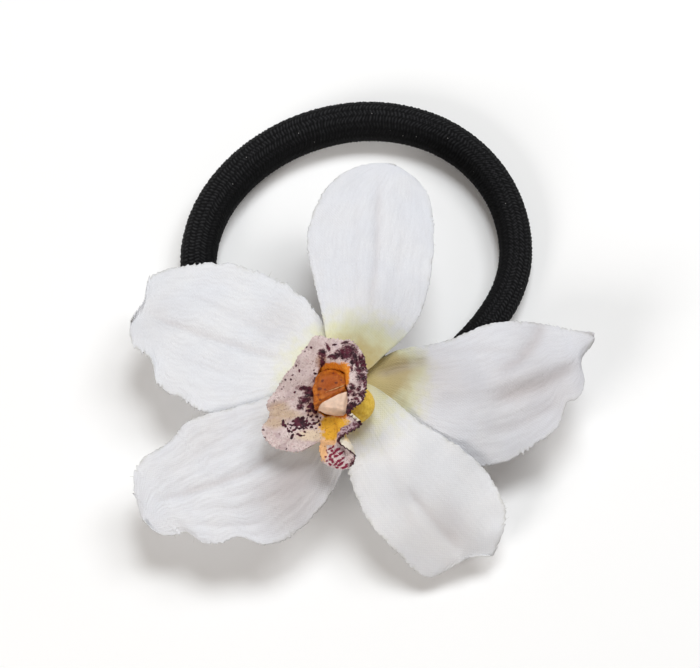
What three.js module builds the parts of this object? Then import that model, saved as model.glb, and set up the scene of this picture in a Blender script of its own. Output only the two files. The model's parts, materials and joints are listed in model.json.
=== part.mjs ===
// Hair tie: a fabric-covered elastic loop, with a fabric orchid that swivels on the loop's splice ferrule.
// Millimetres, +Z up. The loop lies flat on the table at z = 0, and the flower over its front faces up.
import * as THREE from 'three';

// Fits
const CLEARANCE = 0.3; // between pieces that touch

// Elastic loop, measured along the cord's centreline
const LOOP_WIDTH = 54.4;
const LOOP_DEPTH = 51.4;
const LOOP_LEAN = 2.4; // the right side lies this much further back than the left
const LOOP_PINCH = 0.4; // how strongly the front of the loop draws in towards the ferrule
const CORD_DIAMETER = 5.5; // where the flower's weight draws the cord thin
const CORD_SWELL = 1.7; // extra diameter of the relaxed cord at the far side
const SWELL_BEARING = 106; // degrees round the loop, 0 at its right side
const SWELL_POWER = 1.5; // how fast the swell falls off round the loop
const STRAND_DIAMETER = 0.9;
const STRANDS_ROUND_CORE = 6;
const SPLICE_GAP = 0.6; // between the cord's two ends

// Splice ferrule, a crimped metal tube
const FERRULE_LENGTH = 12;
const FERRULE_WALL = 0.4;
const FERRULE_RIM = 0.3; // how far the flared ends stand out
const FERRULE_RIM_WIDTH = 0.9;

// Keeper loop, a tape folded round the ferrule
const KEEPER_WIDTH = 8.6;
const KEEPER_THICKNESS = 0.8;
const KEEPER_FLANGE = 2;

// Felt, glue and calyx under the flower
const FELT_RADIUS = 9;
const FELT_THICKNESS = 1;
const GLUE_RADIUS = 6;
const GLUE_THICKNESS = 1;
const CALYX_RADIUS = 4;
const CALYX_FLANGE = 1;
const PEG_RADIUS = 2.2; // through the petals' layer
const PEG_NECK_RADIUS = 1.4; // through the sepals' layer

// Flower
const FLOWER_SIDE = -1.45; // flower's middle, measured from the middle of the loop
const FLOWER_FORWARD = 2.2; // and in front of the ferrule
const FABRIC_THICKNESS = 0.5;
const LAYER_STEP = 1.6; // the sepals lie this much above the petals
const FORM_POWER = 1.6; // how the rise or droop grows along a tepal
const CLAW_HALF_WIDTH = 1.7; // where a tepal meets the peg
const CLAW_ROLL = 0.5; // how far the claw's edges roll up
const MIDRIB_DEPTH = 0.3; // of the crease pressed along each tepal

// Tepals: length from the flower's middle, width, and rise, the height of the tip above the claw
const DORSAL_LENGTH = 38.5;
const DORSAL_WIDTH = 21;
const DORSAL_RISE = 2.5;
const LEFT_PETAL_LENGTH = 38;
const LEFT_PETAL_WIDTH = 26;
const LEFT_PETAL_RISE = -1.5;
const RIGHT_PETAL_LENGTH = 39;
const RIGHT_PETAL_WIDTH = 23.5;
const RIGHT_PETAL_RISE = 1.5;
const LOWER_LEFT_LENGTH = 39;
const LOWER_LEFT_WIDTH = 24;
const LOWER_LEFT_RISE = -6;
const LOWER_RIGHT_LENGTH = 33.5;
const LOWER_RIGHT_WIDTH = 20;
const LOWER_RIGHT_RISE = -11.5;
const FULL_CROWN = 1.2; // how far the blade arches up between its edges
const SLIGHT_CROWN = 0.6;
const FULL_RUFFLE = 0.8; // how far the edge waves up and down
const SLIGHT_RUFFLE = 0.35;
const FULL_FOLD = 0.28; // how deep the lengthwise folds are
const SLIGHT_FOLD = 0.08;

// Lip, column and anther cap
const LIP_THICKNESS = 0.6;
const LIP_FLOOR_RADIUS = 1.9;
const LIP_BELLY_HEIGHT = 2; // above the lip's floor
const COLUMN_LENGTH = 5.1;
const COLUMN_HALF_WIDTH = 2.1;
const COLUMN_HALF_DEPTH = 1.5;
const COLUMN_FOOT_DEPTH = 1;
const COLUMN_FOOT_HEIGHT = 4.5; // above the lip's floor, at the throat's back wall
const COLUMN_FOOT_FORWARD = 0.65; // in front of the flower's middle
const COLUMN_TILT = 75; // degrees forward from upright
const COLUMN_END_SLANT = 0.6; // slope of its end, longer on the left
const ANTHER_LENGTH = 1.5;
const ANTHER_HALF_DEPTH = 1.3;

// Outlines run from the claw round the tepal and back, as shares of its length and of its width.
// heading is the direction it points in, in degrees.
const TEPALS = [
  {
    name: 'dorsal_sepal', layer: 1, heading: 83,
    length: DORSAL_LENGTH, width: DORSAL_WIDTH, rise: DORSAL_RISE,
    crown: FULL_CROWN, ruffle: SLIGHT_RUFFLE, waves: 2, fold: SLIGHT_FOLD, folds: 2,
    outline: [
      [0.14, -0.24], [0.28, -0.43], [0.46, -0.51], [0.72, -0.5], [0.91, -0.4], [1, -0.15],
      [0.995, 0.12], [0.93, 0.32], [0.79, 0.44], [0.62, 0.48], [0.45, 0.39], [0.3, 0.29], [0.15, 0.2],
    ],
  },
  {
    name: 'left_petal', layer: 0, heading: 165,
    length: LEFT_PETAL_LENGTH, width: LEFT_PETAL_WIDTH, rise: LEFT_PETAL_RISE,
    crown: SLIGHT_CROWN, ruffle: FULL_RUFFLE, waves: 2.5, fold: SLIGHT_FOLD, folds: 3,
    outline: [
      [0.14, -0.28], [0.27, -0.47], [0.43, -0.58], [0.62, -0.61], [0.82, -0.56], [0.985, -0.44],
      [0.975, -0.25], [1, -0.08], [0.955, 0.06], [0.86, 0.13], [0.8, 0.27], [0.68, 0.32], [0.57, 0.38],
      [0.44, 0.32], [0.29, 0.19], [0.16, 0.12],
    ],
  },
  {
    name: 'right_petal', layer: 0, heading: 5,
    length: RIGHT_PETAL_LENGTH, width: RIGHT_PETAL_WIDTH, rise: RIGHT_PETAL_RISE,
    crown: SLIGHT_CROWN, ruffle: FULL_RUFFLE, waves: 2, fold: FULL_FOLD, folds: 3,
    outline: [
      [0.17, -0.11], [0.27, -0.2], [0.37, -0.42], [0.46, -0.58], [0.58, -0.6], [0.7, -0.53],
      [0.83, -0.41], [0.87, -0.32], [0.93, -0.23], [0.97, -0.11], [0.97, 0.06], [1.03, 0.19], [0.93, 0.28],
      [0.79, 0.36], [0.6, 0.36], [0.41, 0.26], [0.18, 0.18],
    ],
  },
  {
    name: 'lower_left_sepal', layer: 1, heading: 208,
    length: LOWER_LEFT_LENGTH, width: LOWER_LEFT_WIDTH, rise: LOWER_LEFT_RISE,
    crown: SLIGHT_CROWN, ruffle: FULL_RUFFLE, waves: 3, fold: FULL_FOLD, folds: 3,
    outline: [
      [0.18, -0.13], [0.34, -0.18], [0.53, -0.25], [0.67, -0.29], [0.78, -0.23], [0.9, -0.21],
      [0.965, -0.12], [0.99, 0.02], [1, 0.16], [0.96, 0.29], [0.87, 0.36], [0.81, 0.51], [0.69, 0.57],
      [0.61, 0.69], [0.52, 0.71], [0.41, 0.68], [0.29, 0.6], [0.2, 0.5], [0.1, 0.3],
    ],
  },
  {
    name: 'lower_right_sepal', layer: 1, heading: 306,
    length: LOWER_RIGHT_LENGTH, width: LOWER_RIGHT_WIDTH, rise: LOWER_RIGHT_RISE,
    crown: FULL_CROWN, ruffle: FULL_RUFFLE, waves: 2.5, fold: SLIGHT_FOLD, folds: 2,
    outline: [
      [0.15, -0.17], [0.31, -0.32], [0.42, -0.44], [0.61, -0.51], [0.76, -0.46], [0.92, -0.36],
      [0.955, -0.15], [0.98, 0.03], [1.02, 0.16], [0.98, 0.3], [0.92, 0.42], [0.81, 0.48], [0.69, 0.49],
      [0.52, 0.39], [0.33, 0.26], [0.18, 0.19],
    ],
  },
];

// The lip's free edge: bearing round the throat in degrees, then x and y from the flower's middle and height
// above the lip's floor.
const LIP_EDGE = [
  [92, -3.1, 4.3, 6.9], [70, 0, 3.7, 7.5], [40, 2, 1.4, 7.8], [10, 2.6, -1.7, 7.7], [-15, 2.2, -5.8, 7],
  [-40, 0, -7.6, 5.8], [-56, 1.6, -9.5, 5.3], [-70, -1.7, -11.6, 4.1], [-78, 0.7, -13.7, 2.2],
  [-88, -0.7, -15.4, 1.4], [-98, -4.3, -14.2, 1.4], [-108, -4.6, -11.4, 2.8], [-124, -8, -12.7, 1.9],
  [-142, -12, -11.9, 1.9], [-158, -13.8, -9.4, 2.4], [-172, -12.5, -6.8, 2.9], [-184, -13.1, -5.3, 2.9],
  [-202, -11.1, -2.2, 4.1], [-222, -8.8, 0.8, 5.1], [-245, -5.7, 4.8, 6.3],
];
// The lip's ovals: middle from the flower's middle, half sizes, and the mouth's height at left and right.
const LIP_FOOT = { x: -1.2, y: -2.2 };
const LIP_BELLY = { x: -2, y: -5.4, across: 5.9, along: 4.6 };
const LIP_MOUTH = { x: -3, y: -3.5, across: 2.8, along: 4.2, low: 3.4, high: 6.6 };
const LIP_LOBE_ARCH = 0.4; // how far the lobes arch up between mouth and free edge

// Mesh fineness
const LOOP_STEPS = 60;
const STRAND_STEPS = 36;
const COVER_SIDES = 12;
const STRAND_SIDES = 5;
const TEPAL_ROWS = 17;
const TEPAL_COLUMNS = 12;
const CURVE_SAMPLES = 20; // between two points of an outline
const LIP_SEGMENTS = 40;
const ROUND_SEGMENTS = 24;

// Sizes that follow from those above
const COVER_BORE_RADIUS = 1.5 * STRAND_DIAMETER + 2 * CLEARANCE;
const FERRULE_RADIUS = CORD_DIAMETER / 2 + CLEARANCE + FERRULE_WALL;
const KEEPER_RADIUS = FERRULE_RADIUS + CLEARANCE;
const AXIS_HEIGHT = KEEPER_RADIUS + KEEPER_THICKNESS; // the ferrule's axis, with the keeper on the table
const FELT_HEIGHT = AXIS_HEIGHT + FERRULE_RADIUS + CLEARANCE;
const GLUE_HEIGHT = FELT_HEIGHT + FELT_THICKNESS + CLEARANCE;
const CALYX_HEIGHT = GLUE_HEIGHT + GLUE_THICKNESS + CLEARANCE;
const PETAL_HEIGHT = CALYX_HEIGHT + CALYX_FLANGE + CLEARANCE + FABRIC_THICKNESS / 2;
const SEPAL_HEIGHT = PETAL_HEIGHT + LAYER_STEP;
const LIP_HEIGHT = SEPAL_HEIGHT + FABRIC_THICKNESS / 2 + CLEARANCE + LIP_THICKNESS / 2;
const FLOWER_Y = -LOOP_DEPTH / 2 - FLOWER_FORWARD;

const radians = THREE.MathUtils.degToRad;

const MATERIALS = {
  textile: new THREE.MeshStandardMaterial({ color: 0x17171a, roughness: 0.85 }),
  latex: new THREE.MeshStandardMaterial({ color: 0xcdb893, roughness: 0.6 }),
  steel: new THREE.MeshStandardMaterial({ color: 0xb4b6ba, roughness: 0.35, metalness: 1 }),
  tape: new THREE.MeshStandardMaterial({ color: 0x1d1d20, roughness: 0.9 }),
  felt: new THREE.MeshStandardMaterial({ color: 0x202023, roughness: 1 }),
  hotMelt: new THREE.MeshStandardMaterial({ color: 0xe8e2d0, roughness: 0.4 }),
  calyx: new THREE.MeshStandardMaterial({ color: 0xb9c487, roughness: 0.5 }),
  silk: new THREE.MeshStandardMaterial({ color: 0xebebf0, roughness: 0.8 }),
  lip: new THREE.MeshStandardMaterial({ color: 0xe3c9c4, roughness: 0.6 }),
  column: new THREE.MeshStandardMaterial({ color: 0xd07a1e, roughness: 0.55 }),
  anther: new THREE.MeshStandardMaterial({ color: 0xeee2cf, roughness: 0.5 }),
};

const hairTie = new THREE.Group();

function addPiece(name, geometry, material, parent = hairTie) {
  const piece = new THREE.Mesh(geometry, material);
  piece.name = name;
  parent.add(piece);
  return piece;
}

function meshGeometry(points, faces) {
  const geometry = new THREE.BufferGeometry();
  const coordinates = points.flatMap((p) => [p.x, p.y, p.z]);
  geometry.setAttribute('position', new THREE.Float32BufferAttribute(coordinates, 3));
  geometry.setIndex(faces.flat());
  geometry.computeVertexNormals();
  return geometry;
}

// The loop's centreline

/** Diameter of the cord at a bearing round the loop, in radians. */
function cordDiameter(bearing) {
  const nearness = 0.5 + 0.5 * Math.cos(bearing - radians(SWELL_BEARING));
  return CORD_DIAMETER + CORD_SWELL * nearness ** SWELL_POWER;
}

/** Centre of the cord's section: on the table at the back, and raised to the ferrule's axis at the front. */
function cordCentre(bearing) {
  const half = FERRULE_LENGTH / 2;
  const towardsFront = Math.max(0, -Math.sin(bearing));
  const side = Math.sign(Math.cos(bearing)) * (towardsFront > 0 ? half : 0);
  const pinch = 1 - LOOP_PINCH * towardsFront ** 2;
  const x = side + (LOOP_WIDTH / 2 - Math.abs(side)) * Math.cos(bearing) * pinch;
  const lean = LOOP_LEAN * Math.cos(bearing) * (1 + Math.sin(bearing)) / 2;
  const y = (LOOP_DEPTH / 2) * Math.sin(bearing) + lean;
  const resting = (cordDiameter(bearing) / 2) * Math.cos(Math.PI / COVER_SIDES);
  const lift = THREE.MathUtils.smootherstep(towardsFront, 0, 1);
  return new THREE.Vector3(x, y, resting + (AXIS_HEIGHT - resting) * lift);
}

/** Stations along the cord, from one end in the ferrule round to the other. */
function cordStations(steps) {
  const start = radians(-90);
  const turn = radians(360);
  const margin = radians(0.5); // keeps each end's bearing on its own side of the splice
  const stations = [];
  const endStation = (side, bearing) => ({
    centre: new THREE.Vector3((side * SPLICE_GAP) / 2, -LOOP_DEPTH / 2, AXIS_HEIGHT),
    sideways: new THREE.Vector3(0, -1, 0),
    diameter: cordDiameter(bearing),
  });
  stations.push(endStation(1, start));
  for (let i = 0; i <= steps; i++) {
    const bearing = start + margin + ((turn - 2 * margin) * i) / steps;
    const ahead = cordCentre(bearing + 1e-3).sub(cordCentre(bearing - 1e-3));
    const sideways = new THREE.Vector3(ahead.y, -ahead.x, 0).normalize();
    stations.push({ centre: cordCentre(bearing), sideways, diameter: cordDiameter(bearing) });
  }
  stations.push(endStation(-1, start));
  return stations;
}

/** One ring of a swept section, turned so that a flat lies underneath. */
function sectionRing(station, radius, sides, offset = { side: 0, up: 0 }) {
  return Array.from({ length: sides }, (_, k) => {
    const angle = -Math.PI / 2 + (Math.PI * (2 * k + 1)) / sides;
    const side = offset.side + radius * Math.cos(angle);
    const up = offset.up + radius * Math.sin(angle);
    return station.centre.clone().addScaledVector(station.sideways, side).add(new THREE.Vector3(0, 0, up));
  });
}

/** Faces between rings of equal length, which run counter-clockwise seen against the sweep. */
function wallFaces(ringCount, sides, first, inward) {
  const faces = [];
  for (let r = 0; r < ringCount - 1; r++) {
    for (let k = 0; k < sides; k++) {
      const a = first + r * sides + k;
      const b = first + r * sides + ((k + 1) % sides);
      const quad = [[a, b + sides, b], [a, a + sides, b + sides]];
      faces.push(...(inward ? quad.map(([p, q, s]) => [p, s, q]) : quad));
    }
  }
  return faces;
}

function coverGeometry() {
  const stations = cordStations(LOOP_STEPS);
  const outer = stations.flatMap((s) => sectionRing(s, s.diameter / 2, COVER_SIDES));
  const bore = stations.flatMap((s) => sectionRing(s, COVER_BORE_RADIUS, COVER_SIDES));
  const boreFirst = outer.length;
  const last = (stations.length - 1) * COVER_SIDES;
  const faces = [
    ...wallFaces(stations.length, COVER_SIDES, 0, false),
    ...wallFaces(stations.length, COVER_SIDES, boreFirst, true),
  ];
  for (let k = 0; k < COVER_SIDES; k++) {
    const next = (k + 1) % COVER_SIDES;
    faces.push([k, next, boreFirst + next], [k, boreFirst + next, boreFirst + k]);
    const [a, b] = [last + k, last + next];
    faces.push([a, boreFirst + b, b], [a, boreFirst + a, boreFirst + b]);
  }
  return meshGeometry([...outer, ...bore], faces);
}

function strandGeometry(offset) {
  const stations = cordStations(STRAND_STEPS);
  const rings = stations.map((s) => sectionRing(s, STRAND_DIAMETER / 2, STRAND_SIDES, offset));
  const points = rings.flat();
  const faces = wallFaces(stations.length, STRAND_SIDES, 0, false);
  const last = (stations.length - 1) * STRAND_SIDES;
  for (let k = 1; k < STRAND_SIDES - 1; k++) {
    faces.push([0, k, k + 1], [last, last + k + 1, last + k]);
  }
  return meshGeometry(points, faces);
}

function addElasticLoop() {
  addPiece('elastic_cover', coverGeometry(), MATERIALS.textile);
  addPiece('rubber_strand_1', strandGeometry({ side: 0, up: 0 }), MATERIALS.latex);
  const spacing = STRAND_DIAMETER + CLEARANCE;
  for (let i = 0; i < STRANDS_ROUND_CORE; i++) {
    const angle = (2 * Math.PI * i) / STRANDS_ROUND_CORE;
    const offset = { side: spacing * Math.cos(angle), up: spacing * Math.sin(angle) };
    addPiece(`rubber_strand_${i + 2}`, strandGeometry(offset), MATERIALS.latex);
  }
}

// What joins the flower to the loop

function addFerrule() {
  const inner = FERRULE_RADIUS - FERRULE_WALL;
  const half = FERRULE_LENGTH / 2;
  const flat = half - FERRULE_RIM_WIDTH;
  const profile = [
    [inner, -half], [FERRULE_RADIUS + FERRULE_RIM, -half], [FERRULE_RADIUS, -flat],
    [FERRULE_RADIUS, flat], [FERRULE_RADIUS + FERRULE_RIM, half], [inner, half], [inner, -half],
  ].map(([r, z]) => new THREE.Vector2(r, z));
  const tube = new THREE.LatheGeometry(profile, ROUND_SEGMENTS);
  const ferrule = addPiece('splice_ferrule', tube, MATERIALS.steel);
  ferrule.rotation.z = radians(90);
  ferrule.position.set(0, -LOOP_DEPTH / 2, AXIS_HEIGHT);
}

/** Tape round the underside of the ferrule, with a flange on each side that is glued under the felt. */
function addKeeper() {
  const inner = KEEPER_RADIUS;
  const outer = KEEPER_RADIUS + KEEPER_THICKNESS;
  const top = FELT_HEIGHT - CLEARANCE - AXIS_HEIGHT;
  const shoulder = top - KEEPER_THICKNESS;
  const end = outer + KEEPER_FLANGE;
  const profile = new THREE.Shape();
  profile.moveTo(inner, top);
  profile.lineTo(inner, 0);
  profile.absarc(0, 0, inner, 0, -Math.PI, true);
  profile.lineTo(-inner, top);
  profile.lineTo(-end, top);
  profile.lineTo(-end, shoulder);
  profile.lineTo(-outer, shoulder);
  profile.lineTo(-outer, 0);
  profile.absarc(0, 0, outer, Math.PI, 2 * Math.PI, false);
  profile.lineTo(outer, shoulder);
  profile.lineTo(end, shoulder);
  profile.lineTo(end, top);
  profile.closePath();
  const options = { depth: KEEPER_WIDTH, bevelEnabled: false, curveSegments: ROUND_SEGMENTS / 2 };
  const geometry = new THREE.ExtrudeGeometry(profile, options).translate(0, 0, -KEEPER_WIDTH / 2);
  const alongX = new THREE.Vector3(1, 0, 0);
  const alongY = new THREE.Vector3(0, 1, 0);
  const alongZ = new THREE.Vector3(0, 0, 1);
  geometry.applyMatrix4(new THREE.Matrix4().makeBasis(alongY, alongZ, alongX));
  addPiece('keeper_loop', geometry, MATERIALS.tape).position.set(0, -LOOP_DEPTH / 2, AXIS_HEIGHT);
}

/** A turned piece on the flower's own axis, from [radius, height above its seat] pairs. */
function addTurned(name, profile, height, material) {
  const points = profile.map(([r, z]) => new THREE.Vector2(r, z));
  const geometry = new THREE.LatheGeometry(points, ROUND_SEGMENTS).rotateX(Math.PI / 2);
  addPiece(name, geometry, material).position.set(FLOWER_SIDE, FLOWER_Y, height);
}

function addFlowerBase() {
  const feltRound = FELT_THICKNESS * 0.3;
  addTurned('felt_base', [
    [0, 0], [FELT_RADIUS - feltRound, 0], [FELT_RADIUS, feltRound],
    [FELT_RADIUS, FELT_THICKNESS - feltRound], [FELT_RADIUS - feltRound, FELT_THICKNESS],
    [0, FELT_THICKNESS],
  ], FELT_HEIGHT, MATERIALS.felt);
  addTurned('glue_pad', [
    [0, 0], [GLUE_RADIUS, 0], [GLUE_RADIUS * 0.95, GLUE_THICKNESS * 0.5],
    [GLUE_RADIUS * 0.8, GLUE_THICKNESS], [0, GLUE_THICKNESS],
  ], GLUE_HEIGHT, MATERIALS.hotMelt);
  const shoulder = SEPAL_HEIGHT - FABRIC_THICKNESS / 2 - CLEARANCE - CALYX_HEIGHT;
  const top = LIP_HEIGHT - LIP_THICKNESS / 2 - CLEARANCE - CALYX_HEIGHT;
  addTurned('calyx_peg', [
    [0, 0], [CALYX_RADIUS * 0.75, 0], [CALYX_RADIUS, CALYX_FLANGE * 0.6], [CALYX_RADIUS, CALYX_FLANGE],
    [PEG_RADIUS, CALYX_FLANGE], [PEG_RADIUS, shoulder],
    [PEG_NECK_RADIUS, shoulder], [PEG_NECK_RADIUS, top], [0, top],
  ], CALYX_HEIGHT, MATERIALS.calyx);
}

// Shells

/** A closed shell of even thickness about an open surface; rim lists its edge points in order. */
function shellGeometry(points, faces, rim, thickness) {
  const normals = meshGeometry(points, faces).getAttribute('normal');
  const offset = (sign) => points.map((point, i) => {
    const normal = new THREE.Vector3().fromBufferAttribute(normals, i);
    return point.clone().addScaledVector(normal, (sign * thickness) / 2);
  });
  const under = points.length;
  const underside = faces.map(([a, b, c]) => [under + a, under + c, under + b]);
  const edge = rim.flatMap((a, i) => {
    const b = rim[(i + 1) % rim.length];
    return [[a, under + a, under + b], [a, under + b, b]];
  });
  return meshGeometry([...offset(1), ...offset(-1)], [...faces, ...underside, ...edge]);
}

/** A shell about closed rings round a centre point. */
function ringShell(centre, rings, thickness) {
  const count = rings[0].length;
  const at = (ring, i) => 1 + ring * count + (i % count);
  const faces = [];
  for (let i = 0; i < count; i++) {
    faces.push([0, at(0, i), at(0, i + 1)]);
    for (let r = 1; r < rings.length; r++) {
      faces.push([at(r - 1, i), at(r, i), at(r, i + 1)], [at(r - 1, i), at(r, i + 1), at(r - 1, i + 1)]);
    }
  }
  const rim = Array.from({ length: count }, (_, i) => at(rings.length - 1, i));
  return shellGeometry([centre, ...rings.flat()], faces, rim, thickness);
}

/** A shell about rows of points; the first row is at the claw, and each row runs from right to left. */
function rowShell(rows, thickness) {
  const columns = rows[0].length - 1;
  const last = rows.length - 1;
  const at = (row, column) => row * (columns + 1) + column;
  const faces = [];
  for (let r = 0; r < last; r++) {
    for (let c = 0; c < columns; c++) {
      const [a, b] = [at(r, c), at(r + 1, c)];
      faces.push([a, b, b + 1], [a, b + 1, a + 1]);
    }
  }
  const rim = [];
  for (let r = 0; r < last; r++) rim.push(at(r, 0));
  for (let c = 0; c < columns; c++) rim.push(at(last, c));
  for (let r = last; r > 0; r--) rim.push(at(r, columns));
  for (let c = columns; c > 0; c--) rim.push(at(0, c));
  return shellGeometry(rows.flat(), faces, rim, thickness);
}

/** Height of the open flower at a plan point, above its claws: each tepal's rise, blended by direction. */
function flowerForm(x, y) {
  const spread = 5; // how sharply the form turns from one tepal's rise to the next
  const direction = Math.atan2(y, x);
  let total = 0;
  let weights = 0;
  for (const { heading, length, rise } of TEPALS) {
    const weight = Math.exp(spread * Math.cos(direction - radians(heading)));
    total += (weight * rise) / length ** FORM_POWER;
    weights += weight;
  }
  return (total / weights) * Math.hypot(x, y) ** FORM_POWER;
}

/** A tepal's two edges from claw to tip, as points at even shares of their length. */
function tepalEdges({ layer, length, width, outline }) {
  const clawStart = (layer === 0 ? PEG_RADIUS : PEG_NECK_RADIUS) + CLEARANCE;
  const corners = [
    new THREE.Vector3(clawStart, -CLAW_HALF_WIDTH, 0),
    ...outline.map(([along, across]) => new THREE.Vector3(along * length, across * width, 0)),
    new THREE.Vector3(clawStart, CLAW_HALF_WIDTH, 0),
  ];
  const curve = new THREE.CatmullRomCurve3(corners, true, 'centripetal');
  const lengths = curve.getLengths(corners.length * CURVE_SAMPLES);
  const shareAt = (corner) => lengths[corner * CURVE_SAMPLES] / lengths.at(-1);
  const reach = corners.map((corner) => corner.x);
  const tip = shareAt(reach.indexOf(Math.max(...reach)));
  const end = shareAt(corners.length - 1);
  const bluntTip = 0.2 / TEPAL_ROWS; // the last row stops short of the tip, where the edges would meet
  const share = (row) => (row / TEPAL_ROWS) * (1 - bluntTip);
  const rows = Array.from({ length: TEPAL_ROWS + 1 }, (_, row) => share(row));
  return {
    right: rows.map((t) => curve.getPointAt(tip * t)),
    left: rows.map((t) => curve.getPointAt(end + (tip - end) * t)),
  };
}

/** A tepal's height above the open flower's form: t runs from claw to tip, c from edge to edge. */
function tepalRelief({ crown, ruffle, waves, fold, folds }, t, c) {
  const body = Math.sin(Math.PI * t);
  const arch = crown * body * (1 - c * c);
  const midrib = -MIDRIB_DEPTH * body * Math.max(0, 1 - (Math.abs(c) * TEPAL_COLUMNS) / 2);
  const lengthwise = fold * body * Math.cos(Math.PI * folds * c);
  const edgeWave = ruffle * t * Math.abs(c) ** 3 * Math.sin(2 * Math.PI * waves * t + c);
  const roll = CLAW_ROLL * (1 - t) ** 6 * c * c;
  return arch + midrib + lengthwise + edgeWave + roll;
}

function tepalGeometry(tepal) {
  const { right, left } = tepalEdges(tepal);
  const turn = new THREE.Matrix4().makeRotationZ(radians(tepal.heading));
  const rows = right.map((start, row) => Array.from({ length: TEPAL_COLUMNS + 1 }, (_, column) => {
    const across = column / TEPAL_COLUMNS;
    const point = start.clone().lerp(left[row], across).applyMatrix4(turn);
    point.z = flowerForm(point.x, point.y) + tepalRelief(tepal, row / TEPAL_ROWS, 2 * across - 1);
    return point;
  }));
  return rowShell(rows, FABRIC_THICKNESS);
}

function addTepals() {
  for (const tepal of TEPALS) {
    const height = tepal.layer === 0 ? PETAL_HEIGHT : SEPAL_HEIGHT;
    addPiece(tepal.name, tepalGeometry(tepal), MATERIALS.silk).position.set(FLOWER_SIDE, FLOWER_Y, height);
  }
}

/** The lip as rings from the throat's floor out: belly, mouth, and a free edge rolled out to the lobes. */
function lipGeometry() {
  const edge = LIP_EDGE.map(([, x, y, z]) => new THREE.Vector3(x, y, z));
  const bearings = LIP_EDGE.map(([bearing]) => new THREE.Vector3(bearing, 0, 0));
  bearings.push(new THREE.Vector3(LIP_EDGE[0][0] - 360, 0, 0));
  const edgeCurve = new THREE.CatmullRomCurve3(edge, true, 'catmullrom', 0.5);
  const centre = new THREE.Vector3(LIP_FOOT.x, LIP_FOOT.y, 0);
  const floor = [];
  const belly = [];
  const mouth = [];
  const lobe = [];
  const free = [];
  for (let i = 0; i < LIP_SEGMENTS; i++) {
    const at = ((LIP_SEGMENTS - i) % LIP_SEGMENTS) / LIP_SEGMENTS;
    const step = at * LIP_EDGE.length;
    const index = Math.floor(step);
    const bearing = radians(THREE.MathUtils.lerp(bearings[index].x, bearings[index + 1].x, step - index));
    const [cos, sin] = [Math.cos(bearing), Math.sin(bearing)];
    const onOval = (oval, z) => new THREE.Vector3(oval.x + oval.across * cos, oval.y + oval.along * sin, z);
    const mouthHeight = THREE.MathUtils.lerp(LIP_MOUTH.low, LIP_MOUTH.high, 0.5 + 0.35 * cos + 0.35 * sin);
    floor.push(centre.clone().add(new THREE.Vector3(LIP_FLOOR_RADIUS * cos, LIP_FLOOR_RADIUS * sin, 0)));
    belly.push(onOval(LIP_BELLY, LIP_BELLY_HEIGHT));
    mouth.push(onOval(LIP_MOUTH, mouthHeight));
    free.push(edgeCurve.getPoint(at));
    lobe.push(mouth[i].clone().lerp(free[i], 0.5).add(new THREE.Vector3(0, 0, LIP_LOBE_ARCH)));
  }
  return ringShell(centre, [floor, belly, mouth, lobe, free], LIP_THICKNESS);
}

function addLip() {
  addPiece('lip', lipGeometry(), MATERIALS.lip).position.set(FLOWER_SIDE, FLOWER_Y, LIP_HEIGHT);
}

/** A body of flattened round sections along Z, from [half depth, height] pairs. */
function flattenedGeometry(profile) {
  const points = profile.map(([depth, z]) => new THREE.Vector2(depth, z));
  const turned = new THREE.LatheGeometry(points, ROUND_SEGMENTS).rotateX(Math.PI / 2);
  return turned.scale(COLUMN_HALF_WIDTH / COLUMN_HALF_DEPTH, 1, 1);
}

/** Tips each section of a body along Z sideways, by the slope that slopeAt gives for its height. */
function slantSections(geometry, slopeAt) {
  const position = geometry.getAttribute('position');
  for (let i = 0; i < position.count; i++) {
    const z = position.getZ(i);
    position.setZ(i, z - slopeAt(z) * position.getX(i));
  }
  geometry.computeVertexNormals();
  return geometry;
}

/** The column leans forward from the throat's back wall, and carries the anther cap on its slanted end. */
function addColumn() {
  const column = new THREE.Group();
  const foot = new THREE.Vector3(LIP_MOUTH.x, -COLUMN_FOOT_FORWARD, COLUMN_FOOT_HEIGHT);
  column.position.set(FLOWER_SIDE, FLOWER_Y, LIP_HEIGHT).add(foot);
  column.rotation.x = radians(COLUMN_TILT);
  hairTie.add(column);
  const stem = flattenedGeometry([
    [0, 0], [COLUMN_FOOT_DEPTH, 0], [COLUMN_HALF_DEPTH * 0.8, COLUMN_LENGTH * 0.3],
    [COLUMN_HALF_DEPTH, COLUMN_LENGTH * 0.7], [COLUMN_HALF_DEPTH * 0.9, COLUMN_LENGTH], [0, COLUMN_LENGTH],
  ]);
  slantSections(stem, (z) => (COLUMN_END_SLANT * z) / COLUMN_LENGTH);
  addPiece('column', stem, MATERIALS.column, column);
  const cap = flattenedGeometry([
    [0, 0], [ANTHER_HALF_DEPTH, 0], [ANTHER_HALF_DEPTH * 0.9, ANTHER_LENGTH * 0.5],
    [ANTHER_HALF_DEPTH * 0.45, ANTHER_LENGTH], [0, ANTHER_LENGTH],
  ]);
  slantSections(cap, (z) => COLUMN_END_SLANT * (1 - z / ANTHER_LENGTH));
  addPiece('anther_cap', cap, MATERIALS.anther, column).position.z = COLUMN_LENGTH + CLEARANCE;
}

addElasticLoop();
addFerrule();
addKeeper();
addFlowerBase();
addTepals();
addLip();
addColumn();

// The origin is under the middle of the whole object, on the table.
const box = new THREE.Box3().setFromObject(hairTie, true);
const middle = box.getCenter(new THREE.Vector3());
hairTie.position.set(-middle.x, -middle.y, -box.min.z);

export default hairTie;
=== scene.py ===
"""Looks of a hair tie: a black covered elastic loop with a white fabric orchid over its splice.
Sizes are in millimetres unless a name says otherwise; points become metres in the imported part's frame."""
import json
import math

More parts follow.
